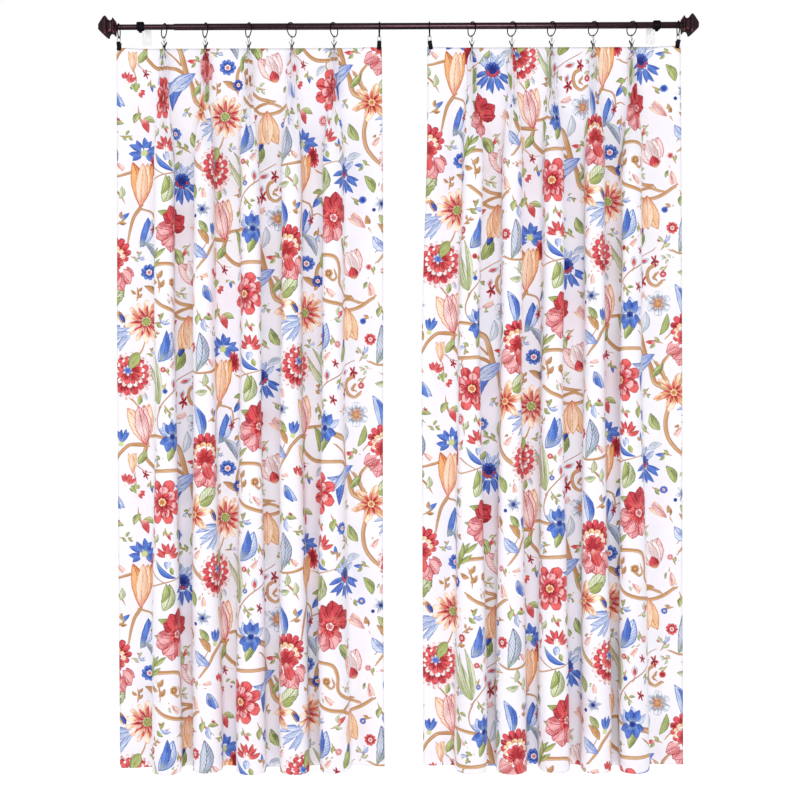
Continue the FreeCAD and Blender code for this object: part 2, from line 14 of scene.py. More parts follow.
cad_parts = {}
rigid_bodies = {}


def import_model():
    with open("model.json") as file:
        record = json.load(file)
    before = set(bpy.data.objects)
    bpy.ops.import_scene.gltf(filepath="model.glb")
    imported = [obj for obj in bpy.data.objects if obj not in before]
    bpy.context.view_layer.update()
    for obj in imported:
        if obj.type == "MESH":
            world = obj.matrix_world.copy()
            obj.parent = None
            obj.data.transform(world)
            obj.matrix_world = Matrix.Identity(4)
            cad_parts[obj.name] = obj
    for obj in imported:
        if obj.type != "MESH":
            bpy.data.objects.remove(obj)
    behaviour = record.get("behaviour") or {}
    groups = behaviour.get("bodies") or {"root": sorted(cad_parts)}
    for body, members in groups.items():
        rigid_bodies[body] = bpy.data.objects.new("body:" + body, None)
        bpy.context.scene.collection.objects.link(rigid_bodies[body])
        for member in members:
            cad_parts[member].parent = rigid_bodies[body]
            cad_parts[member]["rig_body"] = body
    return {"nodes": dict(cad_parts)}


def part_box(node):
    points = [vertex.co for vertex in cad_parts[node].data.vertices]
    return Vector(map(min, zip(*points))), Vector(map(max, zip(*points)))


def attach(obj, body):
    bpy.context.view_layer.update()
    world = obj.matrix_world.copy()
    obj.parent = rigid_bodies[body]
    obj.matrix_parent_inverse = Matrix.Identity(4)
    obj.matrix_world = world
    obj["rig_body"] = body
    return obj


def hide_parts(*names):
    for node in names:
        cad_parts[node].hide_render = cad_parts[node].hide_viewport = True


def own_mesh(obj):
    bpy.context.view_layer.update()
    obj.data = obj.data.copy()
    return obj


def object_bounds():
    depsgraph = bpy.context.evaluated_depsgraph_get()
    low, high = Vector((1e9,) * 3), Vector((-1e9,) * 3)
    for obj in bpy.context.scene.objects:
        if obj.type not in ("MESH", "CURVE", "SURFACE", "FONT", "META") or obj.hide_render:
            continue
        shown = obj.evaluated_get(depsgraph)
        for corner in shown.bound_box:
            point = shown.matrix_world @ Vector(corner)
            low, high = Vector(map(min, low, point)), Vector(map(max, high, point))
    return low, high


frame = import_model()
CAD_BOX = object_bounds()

logging.basicConfig(level=logging.INFO, format="%(message)s")
LOG = logging.getLogger("curtains")

ROD_Y = -0.090
Array = np.ndarray
Material, Mesh, Node, Piece = bpy.types.Material, bpy.types.Mesh, bpy.types.Node, bpy.types.Object
Socket, Tree = bpy.types.NodeSocket, bpy.types.NodeTree
Spot = tuple[float, float]
Point = tuple[float, float, float]
Colour = Point


class Hand(Enum):
    """Which curtain, as seen from the room."""

    LEFT = "left"
    RIGHT = "right"


# --- working with meshes
def deselect() -> None:
    """Leave object mode's selection empty."""
    if bpy.context.object and bpy.context.object.mode != "OBJECT":
        bpy.ops.object.mode_set(mode="OBJECT")
    bpy.ops.object.select_all(action="DESELECT")


def current(name: str) -> Piece:
    """Name the primitive that was just added and return it."""
    piece = bpy.context.object
    piece.name = name
    piece.data.name = name
    return piece


def show(thing: Piece) -> None:
    """Put an object into the scene."""
    bpy.context.scene.collection.objects.link(thing)


def pick(piece: Piece) -> None:
    """Make a piece the only selected and active object."""
    deselect()
    piece.select_set(True)
    bpy.context.view_layer.objects.active = piece


def settle(piece: Piece) -> Piece:
    """Move a piece's place, turn and size into its mesh."""
    bpy.context.view_layer.update()
    piece.data.transform(piece.matrix_world)
    piece.matrix_world = Matrix.Identity(4)
    return piece


def edit_faces(piece: Piece, wanted: Callable[[Vector, Vector], bool]) -> None:
    """Enter edit mode with only some faces selected.

    Args:
        piece: The mesh to edit.
        wanted: Says from a face's middle and normal whether it is selected.
    """
    pick(piece)
    bpy.ops.object.mode_set(mode="EDIT")
    bpy.ops.mesh.select_mode(type="FACE")
    mesh = bmesh.from_edit_mesh(piece.data)
    for face in mesh.faces:
        face.select_set(wanted(face.calc_center_median(), face.normal))
    mesh.select_flush_mode()
    bmesh.update_edit_mesh(piece.data)


def leave_edit() -> None:
    """Go back to object mode."""
    bpy.ops.object.mode_set(mode="OBJECT")


def modify(piece: Piece, kind: str, **settings: object) -> None:
    """Add a modifier with the given settings and apply it."""
    pick(piece)
    modifier = piece.modifiers.new(kind.lower(), kind)
    for name, value in settings.items():
        setattr(modifier, name, value)
    bpy.ops.object.modifier_apply(modifier=modifier.name)


def bevel(piece: Piece, width: float, segments: int = 2, angle: float = 30.0) -> None:
    """Round every edge sharper than an angle, in degrees."""
    modify(piece, "BEVEL", width=width, segments=segments, limit_method="ANGLE",
           angle_limit=radians(angle), use_clamp_overlap=True, harden_normals=False)


def smooth(piece: Piece, angle: float = 35.0) -> None:
    """Shade a piece smooth, apart from edges sharper than an angle, in degrees."""
    pick(piece)
    bpy.ops.object.shade_smooth_by_angle(angle=radians(angle))


def joined(name: str, parts: Sequence[Piece]) -> Piece:
    """Join several meshes into one object."""
    pick(parts[0])
    for part in parts[1:]:
        part.select_set(True)
    bpy.ops.object.join()
    return current(name)


def placed_copy(piece: Piece, name: str, place: Matrix) -> Piece:
    """A copy of a piece with its own mesh, moved by a matrix."""
    copy = piece.copy()
    copy.data = piece.data.copy()
    copy.name = name
    copy.data.name = name
    show(copy)
    copy.data.transform(place)
    return copy


def mark_wear(piece: Piece, reach: int = 1) -> None:
    """Store how sharply the mesh bends outwards at each vertex, for rubbed edges.

    Args:
        piece: The finished mesh.
        reach: How many times the mark spreads to its neighbours.
    """
    mesh = bmesh.new()
    mesh.from_mesh(piece.data)
    mesh.normal_update()
    marks = np.zeros(len(mesh.verts))
    for edge in mesh.edges:
        if len(edge.link_faces) == 2 and edge.is_convex:
            bend = min(edge.calc_face_angle(0.0) / radians(40), 1.0)
            for corner in edge.verts:
                marks[corner.index] = max(marks[corner.index], bend)
    ends = np.array([[e.verts[0].index, e.verts[1].index] for e in mesh.edges])
    mesh.free()
    for _ in range(reach):
        spread = marks.copy()
        np.maximum.at(spread, ends[:, 0], marks[ends[:, 1]] * 0.35)
        np.maximum.at(spread, ends[:, 1], marks[ends[:, 0]] * 0.35)
        marks = spread
    layer = piece.data.attributes.new("wear", "FLOAT", "POINT")
    layer.data.foreach_set("value", marks.astype(np.float32))


# --- writing node trees
class Value:
    """A node's output that can be used in sums."""

    def __init__(self, graph: "Graph", socket: Socket) -> None:
        """Keep the output and the tree that it belongs to."""
        self.graph = graph
        self.socket = socket

    def __add__(self, other: "Term") -> "Value":
        """The sum."""
        return self.graph.math("ADD", self, other)

    def __sub__(self, other: "Term") -> "Value":
        """The difference."""
        return self.graph.math("SUBTRACT", self, other)

    def __rsub__(self, other: "Term") -> "Value":
        """The difference, from a number."""
        return self.graph.math("SUBTRACT", other, self)

    def __mul__(self, other: "Term") -> "Value":
        """The product."""
        return self.graph.math("MULTIPLY", self, other)

    def __truediv__(self, other: "Term") -> "Value":
        """The quotient."""
        return self.graph.math("DIVIDE", self, other)

    def ramp(self, low: float, high: float) -> "Value":
        """A smooth step of it, from 0 at low to 1 at high."""
        return self.graph.ramp(self, low, high)

    def __abs__(self) -> "Value":
        """Its size without its sign."""
        return self.graph.math("ABSOLUTE", self)

    __radd__ = __add__
    __rmul__ = __mul__


Term = Value | float
Trio = tuple[Value, Value, Value]


class Graph:
    """A short way to write a node tree."""

    def __init__(self, tree: Tree) -> None:
        """Keep the tree that nodes are added to."""
        self.tree = tree

    def node(self, kind: str, inputs: dict | None = None, **settings: object) -> Node:
        """Add a node, set its properties and fill its inputs.

        Args:
            kind: The node's type name.
            inputs: Input name or number to a Value or a constant.
            settings: The node's properties.

        Returns:
            The node.
        """
        made = self.tree.nodes.new(kind)
        for name, value in settings.items():
            setattr(made, name, value)
        for name, value in (inputs or {}).items():
            self.fill(made.inputs[name], value)
        return made

    def fill(self, socket: Socket, value: object) -> None:
        """Link a Value to an input, or set a constant on it."""
        if isinstance(value, Value):
            self.tree.links.new(value.socket, socket)
        elif socket.type == "RGBA" and len(value) == 3:
            socket.default_value = (*value, 1.0)
        else:
            socket.default_value = value

    def out(self, node: Node, name: str | int = 0) -> Value:
        """One of a node's outputs."""
        return Value(self, node.outputs[name])

    def math(self, operation: str, *terms: Term, clamp: bool = False) -> Value:
        """A Math node."""
        inputs = dict(enumerate(terms))
        return self.out(self.node("ShaderNodeMath", inputs, operation=operation, use_clamp=clamp))

    def ramp(self, value: Value, low: float, high: float) -> Value:
        """A smooth step from 0 at low to 1 at high."""
        node = self.node("ShaderNodeMapRange", {0: value, 1: low, 2: high},
                         interpolation_type="SMOOTHSTEP")
        return self.out(node)

    def mix(self, share: Term, first: object, second: object, mode: str = "MIX") -> Value:
        """A colour between two others."""
        node = self.node("ShaderNodeMix", data_type="RGBA", blend_type=mode)
        for name, value in (("Factor_Float", share), ("A_Color", first), ("B_Color", second)):
            socket = next(s for s in node.inputs if s.identifier == name)
            self.fill(socket, value)
        return Value(self, next(s for s in node.outputs if s.identifier == "Result_Color"))

    def noise(self, at: Value, scale: float, detail: float = 2.0, roughness: float = 0.5) -> Value:
        """Fine irregular variation, from 0 to 1."""
        inputs = {"Vector": at, "Scale": scale, "Detail": detail, "Roughness": roughness}
        return self.out(self.node("ShaderNodeTexNoise", inputs))

    def noise_at(self, x: Term, y: Term, z: Term, detail: float = 2.0) -> Value:
        """Irregular variation, from 0 to 1, at three numbers."""
        return self.noise(self.vector(x, y, z), 1.0, detail)

    def stretched(self, at: Value, scale: Point) -> Value:
        """Coordinates stretched along their axes."""
        inputs = {"Vector": at, "Scale": scale}
        return self.out(self.node("ShaderNodeMapping", inputs))

    def parts(self, at: Value) -> Trio:
        """The three numbers of a vector."""
        node = self.node("ShaderNodeSeparateXYZ", {0: at})
        return self.out(node, 0), self.out(node, 1), self.out(node, 2)

    def vector(self, x: Term, y: Term, z: Term = 0.0) -> Value:
        """A vector from three numbers."""
        return self.out(self.node("ShaderNodeCombineXYZ", {0: x, 1: y, 2: z}))

    def attribute(self, name: str, output: str = "Vector") -> Value:
        """One of the piece's own attributes."""
        return self.out(self.node("ShaderNodeAttribute", attribute_name=name), output)

    def group(self, tree: Tree, inputs: dict) -> Node:
        """Place a node group and fill its inputs."""
        return self.node("ShaderNodeGroup", inputs, node_tree=tree)


def new_group(name: str, inputs: str, outputs: str) -> tuple[Graph, dict[str, Value]]:
    """Start a shader node group.

    Args:
        name: The group's name.
        inputs: Input names, each with its kind: Vector, Float or Color.
        outputs: Output names in the same way.

    Returns:
        The group's graph and its inputs as values.
    """
    tree = bpy.data.node_groups.new(name, "ShaderNodeTree")
    for side, sockets in (("INPUT", inputs), ("OUTPUT", outputs)):
        for socket in sockets.split():
            label, kind = socket.split(":")
            tree.interface.new_socket(label, in_out=side, socket_type=f"NodeSocket{kind}")
    graph = Graph(tree)
    entry = graph.node("NodeGroupInput")
    return graph, {socket.name: graph.out(entry, socket.name) for socket in entry.outputs if socket.name}


def end_group(graph: Graph, outputs: dict[str, Value]) -> Tree:
    """Connect a group's outputs and return its tree."""
    graph.node("NodeGroupOutput", outputs)
    return graph.tree


# --- effects that several finishes share
class Effects:
    """The node groups that the finishes place with their own values."""

    def __init__(self) -> None:
        """Build each group once."""
        self.weave = self.make_weave()
        self.wear = self.make_wear()
        self.motif = self.make_motif()
        self.vine = self.make_vine()

    def make_weave(self) -> Tree:
        """Plain weave with slubs: a height, and a mask of thicker threads.

        Returns:
            The group, which takes cloth coordinates in metres.
        """
        graph, entry = new_group("plain_weave", "Cloth:Vector Pitch:Float",
                                 "Height:Float Slub:Float Soil:Float")
        across, down, _ = graph.parts(entry["Cloth"])
        turns = 2 * pi
        warp = graph.math("SINE", across * turns / entry["Pitch"])
        weft = graph.math("SINE", down * turns / entry["Pitch"])
        thread = warp * weft
        slub_warp = graph.noise(graph.stretched(entry["Cloth"], (900.0, 18.0, 1.0)), 1.0, 2.0)
        slub_weft = graph.noise(graph.stretched(entry["Cloth"], (18.0, 900.0, 1.0)), 1.0, 2.0)
        slub = graph.math("MAXIMUM", slub_warp.ramp(0.56, 0.8), slub_weft.ramp(0.56, 0.8))
        soil = graph.noise(graph.stretched(entry["Cloth"], (5.0, 3.0, 1.0)), 1.0, 4.0, 0.6)
        return end_group(graph, {"Height": thread * 0.35 + slub * 0.65, "Slub": slub, "Soil": soil})

    def make_wear(self) -> Tree:
        """Rubbed edges and fine grain on a hard finish.

        Returns:
            The group, which takes object coordinates and the edge mark.
        """
        graph, entry = new_group("edge_wear", "Place:Vector Mark:Float Amount:Float Grain:Float",
                                 "Rubbed:Float Speck:Float Height:Float")
        patch = graph.noise(entry["Place"], 90.0, 4.0, 0.65)
        rubbed = graph.ramp(entry["Mark"] * entry["Amount"] + patch * 0.9, 0.72, 1.15)
        speck = graph.noise(entry["Place"], entry["Grain"], 3.0, 0.7)
        fine = graph.noise(entry["Place"], 2600.0, 2.0, 0.6)
        return end_group(graph, {"Rubbed": rubbed, "Speck": speck, "Height": speck * 0.7 + fine * 0.3})

    def make_motif(self) -> Tree:
        """One printed motif over the colour below it.

        Place holds the local x and y and a seed.  Form holds the number of
        petals (1 is a leaf from x = 0 to 1), the depth of the notches (less
        than 0 for pointed petals, and a leaf's fullness near its base) and
        the size of the heart (for a leaf, the strength of its veins).

        Returns:
            The group.
        """
        graph, entry = new_group(
            "print_motif", "Under:Color Place:Vector Form:Vector Light:Color Deep:Color Heart:Color",
            "Colour:Color Cover:Float")
        x, y, seed = graph.parts(entry["Place"])
        petals, notch, heart = graph.parts(entry["Form"])
        leaf_cover, leaf_tone, leaf_heart = self.leaf_print(graph, (x, y, seed), (notch, heart))
        bloom = self.bloom_print(graph, (x, y, seed), (petals, notch, heart))
        bloom_cover, bloom_tone, bloom_heart = bloom
        is_bloom = graph.math("GREATER_THAN", petals, 1.5)
        shown = graph.math("GREATER_THAN", petals, 0.5)
        cover = (leaf_cover + (bloom_cover - leaf_cover) * is_bloom) * shown
        tone = leaf_tone + (bloom_tone - leaf_tone) * is_bloom
        core = leaf_heart + (bloom_heart - leaf_heart) * is_bloom
        ink = graph.mix(tone, entry["Light"], entry["Deep"])
        ink = graph.mix(core, ink, entry["Heart"])
        return end_group(graph, {"Colour": graph.mix(cover, entry["Under"], ink), "Cover": cover})

    def leaf_print(self, graph: Graph, place: Trio,
                   form: tuple[Value, Value]) -> Trio:
        """A leaf, bud or single petal: its cover, its tone and its base.

        Args:
            graph: The motif group's graph.
            place: Local x, y and the seed.
            form: Fullness near the base, and the strength of the veins.

        Returns:
            Cover, share of the deep colour, share of the heart colour.
        """
        x, y, seed = place
        fullness, veins = form
        inside = graph.math("MULTIPLY", x.ramp(0.0, 0.02), graph.ramp(1.0 - x, 0.0, 0.02))
        along = graph.math("MAXIMUM", graph.math("MINIMUM", x, 1.0), 0.0)
        swell = graph.math("SINE", graph.math("POWER", along, fullness) * pi)
        width = graph.math("POWER", graph.math("MAXIMUM", swell, 0.0001), 0.8)
        ripple = graph.noise_at(x * 7.0, graph.math("SIGN", y) * 3.0, seed)
        width = width * (0.84 + ripple * 0.3)
        side = abs(y)
        room = width - side
        cover = room.ramp(0.0, 0.09) * inside
        midrib = 1.0 - side.ramp(0.02, 0.10)
        rib_phase = x * 9.0 - side * 2.6
        ribs = graph.ramp(graph.math("SINE", rib_phase * 2 * pi), 0.35, 0.95)
        outline = 1.0 - room.ramp(0.04, 0.24)
        shade = graph.ramp(graph.noise_at(x * 2.4, y * 1.2, seed), 0.42, 0.66)
        wash = graph.ramp(y + (graph.noise_at(x * 3.0, y * 2.0, seed + 5.0) - 0.5), 0.0, 0.5)
        strokes = graph.ramp(graph.noise_at(x * 3.0, y * 16.0, seed), 0.5, 0.7)
        tone = midrib * veins + ribs * veins * 0.5 + outline * 0.85 + shade * 0.3 + wash * 0.4
        tone = graph.math("ADD", tone, strokes * 0.42, clamp=True)
        base = 1.0 - x.ramp(0.02, 0.42)
        return cover, tone, base * (0.35 + strokes * 0.65)

    def bloom_print(self, graph: Graph, place: Trio,
                    form: Trio) -> Trio:
        """A round flower: its cover, its tone and its heart.

        Args:
            graph: The motif group's graph.
            place: Local x, y and the seed.
            form: Petals, depth of the notches and size of the heart.

        Returns:
            Cover, share of the deep colour, share of the heart colour.
        """
        x, y, seed = place
        petals, notch, heart = form
        reach = graph.math("SQRT", x * x + y * y)
        turn = graph.math("ARCTAN2", y, x) / (2 * pi) + 0.5
        wobble = graph.noise_at(x * 2.0, y * 2.0, seed, detail=1.0)
        sector = turn * petals + (wobble - 0.5) * 0.35
        petal = abs(graph.math("FRACT", sector) * 2.0 - 1.0)
        pointed = graph.math("LESS_THAN", notch, 0.0)
        bluntness = 3.0 - pointed * 1.8
        limit = 1.0 - abs(notch) * graph.math("POWER", petal, bluntness)
        fringe = graph.noise_at(turn * 40.0, seed, 0.0)
        ragged = graph.noise_at(graph.math("FLOOR", sector) * 3.1, seed, 2.0, detail=0.0)
        limit = limit * (0.84 + fringe * 0.14 + ragged * 0.18)
        room = limit - reach
        cover = room.ramp(0.0, 0.045)
        streaks = graph.noise_at(turn * 46.0, reach * 2.0, seed)
        deep_in = 1.0 - reach.ramp(0.15, 0.95)
        seam = petal.ramp(0.72, 1.0) * room.ramp(0.0, 0.1)
        outline = 1.0 - room.ramp(0.01, 0.09)
        mottle = graph.noise_at(x * 3.2, y * 3.2, seed + 3.0)
        tone = graph.ramp(streaks + deep_in * 0.35 + mottle * 0.35, 0.62, 0.98)
        tone = graph.math("ADD", tone, seam * 0.9 + outline * 0.85, clamp=True)
        core = 1.0 - graph.ramp(reach - heart, -0.03, 0.03)
        return cover, tone, core

    def make_vine(self) -> Tree:
        """A printed stem over the colour below it.

        Place holds the way along in metres, the way across from -1 to 1
        and a seed.

        Returns:
            The group.
        """
        graph, entry = new_group("print_vine", "Under:Color Place:Vector Bark:Color",
                                 "Colour:Color")
        along, across, seed = graph.parts(entry["Place"])
        wander = graph.noise_at(along * 22.0, seed, 0.0)
        side = abs(across) + (wander - 0.5) * 0.5
        cover = (1.0 - side.ramp(0.82, 1.02)) * graph.math("GREATER_THAN", seed, 0.5)
        strands = graph.noise_at(along * 14.0, across * 2.6, seed)
        lit = graph.ramp(strands + across * 0.16, 0.46, 0.66)
        edge = graph.ramp(abs(across), 0.45, 0.95)
        dark = graph.mix(0.42, entry["Bark"], (0.13, 0.045, 0.012))
        pale = graph.mix(0.42, entry["Bark"], (0.95, 0.78, 0.58))
        ink = graph.mix(lit, entry["Bark"], pale)
        ink = graph.mix(edge * 0.75, ink, dark)
        return end_group(graph, {"Colour": graph.mix(cover, entry["Under"], ink)})


# --- finishes
def new_material(name: str) -> tuple[Material, Graph, Node]:
    """Start a material.

    Args:
        name: The material's name.

    Returns:
        The material, its graph and its Principled shader.
    """
    material = bpy.data.materials.new(name)
    material.use_nodes = True
    material.node_tree.nodes.clear()
    graph = Graph(material.node_tree)
    shader = graph.node("ShaderNodeBsdfPrincipled")
    graph.node("ShaderNodeOutputMaterial", {"Surface": graph.out(shader)})
    return material, graph, shader


def bump(graph: Graph, shader: Node, height: Value, depth: float) -> None:
    """Feed a height, in shares of a depth in metres, to a shader's normal."""
    node = graph.node("ShaderNodeBump", {"Height": height, "Distance": depth, "Strength": 1.0})
    graph.fill(shader.inputs["Normal"], graph.out(node, "Normal"))


@dataclass(frozen=True)
class HardFinish:
    """Painted or plated metal with rubbed edges."""

    name: str
    body: Colour
    glint: Colour
    rubbed: Colour
    slot: str
    roughness: float = 0.35
    metallic: float = 0.0
    wear: float = 0.5
    grain: float = 260.0
    relief: float = 0.00004
    gloss: float = 0.5

    def make(self, effects: Effects) -> Material:
        """Build the material.

        Args:
            effects: The shared groups.

        Returns:
            The material.
        """
        material, graph, shader = new_material(self.name)
        place = graph.out(graph.node("ShaderNodeTexCoord"), "Object")
        mark = graph.attribute("wear", "Fac")
        worn = graph.group(effects.wear, {"Place": place, "Mark": mark, "Amount": self.wear,
                                          "Grain": self.grain})
        rubbed, speck = graph.out(worn, "Rubbed"), graph.out(worn, "Speck")
        colour = graph.mix(speck.ramp(0.35, 0.7), self.body, self.glint)
        colour = graph.mix(rubbed, colour, self.rubbed)
        graph.fill(shader.inputs["Base Color"], colour)
        roughness = (speck - 0.5) * 0.16 + self.roughness - rubbed * 0.06
        graph.fill(shader.inputs["Roughness"], roughness)
        shader.inputs["Metallic"].default_value = self.metallic
        shader.inputs["Specular IOR Level"].default_value = self.gloss
        bump(graph, shader, graph.out(worn, "Height"), self.relief)
        return material


@dataclass(frozen=True)
class ClothFinish:
    """Plain woven cotton, bleached or natural."""

    name: str
    ground: Colour
    shadow: Colour
    slot: str
    pitch: float = 0.0007
    relief: float = 0.00009
    roughness: float = 0.9
    sheen: float = 0.12

    def ground_colour(self, graph: Graph, effects: Effects) -> tuple[Value, Node]:
        """The undyed cloth.

        Args:
            graph: The material's graph.
            effects: The shared node groups.

        Returns:
            Its colour and the weave's node.
        """
        weave = graph.group(effects.weave, {"Cloth": graph.attribute("cloth"), "Pitch": self.pitch})
        tint = graph.ramp(graph.out(weave, "Soil"), 0.3, 0.75) * 0.5
        tint = graph.math("ADD", tint, graph.out(weave, "Slub") * 0.35, clamp=True)
        return graph.mix(tint, self.ground, self.shadow), weave

    def seams(self, graph: Graph) -> Value:
        """Stitches of the hems, as a mask read from the distance to the nearest seam line."""
        hem, run, _ = graph.parts(graph.attribute("hem"))
        line = 1.0 - graph.ramp(abs(hem), 0.0004, 0.0011)
        stitch = graph.ramp(graph.math("SINE", run * (2 * pi / 0.0042)), -0.5, 0.1)
        return line * stitch

    def make(self, effects: Effects) -> Material:
        """Build the material.

        Args:
            effects: The shared groups.

        Returns:
            The material.
        """
        material, graph, shader = new_material(self.name)
        self.finish(graph, shader, *self.ground_colour(graph, effects))
        return material

    def finish(self, graph: Graph, shader: Node, colour: Value, weave: Node) -> None:
        """Fill the shader's inputs.

        Args:
            graph: The material's graph.
            shader: The Principled shader.
            colour: The cloth's colour.
            weave: The weave's node.
        """
        seam = self.seams(graph)
        colour = graph.mix(seam * 0.35, colour, self.shadow)
        graph.fill(shader.inputs["Base Color"], colour)
        slub = graph.out(weave, "Slub")
        graph.fill(shader.inputs["Roughness"], slub * 0.06 + self.roughness)
        shader.inputs["Sheen Weight"].default_value = self.sheen
        shader.inputs["Sheen Roughness"].default_value = 0.5
        shader.inputs["Specular IOR Level"].default_value = 0.2
        bump(graph, shader, graph.out(weave, "Height") - seam * 3.0, self.relief)


MOTIF_SLOTS = 4
VINE_SLOTS = 2


@dataclass(frozen=True)
class PrintedFinish(ClothFinish):
    """The same cotton with the printed flowers and vines on its face."""

    def make(self, effects: Effects) -> Material:
        """Build the material.

        Args:
            effects: The shared groups.

        Returns:
            The material.
        """
        material, graph, shader = new_material(self.name)
        ground, weave = self.ground_colour(graph, effects)
        colour = ground
        for i in range(VINE_SLOTS):
            node = graph.group(effects.vine, {"Under": colour, "Place": graph.attribute(f"vine_{i}"),
                                              "Bark": graph.attribute(f"bark_{i}", "Color")})
            colour = graph.out(node, "Colour")
        for i in range(MOTIF_SLOTS):
            inputs = {"Under": colour, "Place": graph.attribute(f"place_{i}"),
                      "Form": graph.attribute(f"form_{i}")}
            for ink in ("Light", "Deep", "Heart"):
                inputs[ink] = graph.attribute(f"{ink.lower()}_{i}", "Color")
            colour = graph.out(graph.group(effects.motif, inputs), "Colour")
        thread = graph.out(weave, "Slub") * 0.16
        colour = graph.mix(thread, colour, ground)
        self.finish(graph, shader, colour, weave)
        return material


@dataclass(frozen=True)
class FloorFinish:
    """Pale painted floor."""

    name: str = "studio_floor"
    colour: Colour = (0.93, 0.93, 0.935)
    mirrored: Colour = (0.05, 0.045, 0.05)

    def make(self) -> Material:
        """Build the material."""
        material, graph, shader = new_material(self.name)
        place = graph.out(graph.node("ShaderNodeTexCoord"), "Object")
        cloud = graph.noise(place, 0.8, 3.0)
        shade = graph.mix(cloud, self.colour, tuple(c * 0.99 for c in self.colour))
        mirrored = graph.out(graph.node("ShaderNodeLightPath"), "Is Glossy Ray")
        graph.fill(shader.inputs["Base Color"], graph.mix(mirrored, shade, self.mirrored))
        shader.inputs["Emission Color"].default_value = (1.0, 1.0, 1.0, 1.0)
        graph.fill(shader.inputs["Emission Strength"], mirrored * -0.48 + 0.5)
        shader.inputs["Roughness"].default_value = 0.85
        shader.inputs["Specular IOR Level"].default_value = 0.1
        return material


# --- cloth
def step(value: Array | float, low: float, high: float) -> Array:
    """A smooth step from 0 at low to 1 at high."""
    share = np.clip((np.asarray(value, float) - low) / (high - low), 0.0, 1.0)
    return share * share * (3.0 - 2.0 * share)


def middle_of(node: str) -> Vector:
    """The middle of a CAD node's box."""
    low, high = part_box(node)
    return (Vector(low) + Vector(high)) / 2


@dataclass
class FoldShape:
    """How a pleat's cloth lies in plan, open below and pinched in the header.

    Across is the distance from the pleat's middle line and out is the
    distance that the cloth stands into the room.
    """

    fullness: float
    bulge_radius: float = 0.0285
    root_radius: float = 0.010
    pinches: int = 3

    @property
    def side(self) -> float:
        """Length of the open fold's straight side."""
        half_turn = (self.bulge_radius + self.root_radius) * pi / 2
        return self.fullness / 2 + self.half_width - half_turn

    @property
    def half_width(self) -> float:
        """Half of the header that an open fold takes up."""
        return self.bulge_radius + self.root_radius

    @property
    def half_cloth(self) -> float:
        """Half of the cloth in a fold."""
        return self.fullness / 2 + self.half_width

    def opened(self, reach: Array) -> tuple[Array, Array]:
        """Across and out at distances along the cloth from the fold's crest."""
        crest = self.bulge_radius * pi / 2
        depth = self.root_radius + self.side + self.bulge_radius
        bulge = np.minimum(reach, crest) / self.bulge_radius
        root = np.clip(self.half_cloth - reach, 0.0, self.root_radius * pi / 2)
        root = root / self.root_radius
        across = np.where(reach < crest, self.bulge_radius * np.sin(bulge), self.bulge_radius)
        out = np.where(reach < crest, depth - self.bulge_radius * (1 - np.cos(bulge)),
                       self.root_radius + crest + self.side - reach)
        at_root = reach > crest + self.side
        across = np.where(at_root, self.half_width - self.root_radius * np.sin(root), across)
        out = np.where(at_root, self.root_radius * (1 - np.cos(root)), out)
        return across, out

    def pinched(self, reach: Array, gap: float, fan: float) -> tuple[Array, Array]:
        """Across and out where the fullness is pinched into small folds.

        Args:
            reach: Distances along the cloth from the fold's crest.
            gap: Half the space between one layer and the next.
            fan: How far the outer folds lean outwards, in radians.

        Returns:
            Across and out.
        """
        deep = self.fullness / (2 * self.pinches)
        base = 5 * gap
        knots = [0.0, deep, 2 * deep, 3 * deep, self.half_cloth]
        across = [0.0, 2 * gap, 3 * gap + deep * sin(fan), base, self.half_width]
        out = [deep, 0.001, deep * cos(fan), 0.0, 0.0]
        return np.interp(reach, knots, across), np.interp(reach, knots, out)

    def marks(self) -> list[float]:
        """Places of the mesh's columns along one half of a fold's cloth."""
        steps = 14
        folded = [self.fullness / 2 * i / steps for i in range(steps + 1)]
        flat = [self.fullness / 2 + self.half_width * i / 8 for i in range(1, 9)]
        return folded + flat


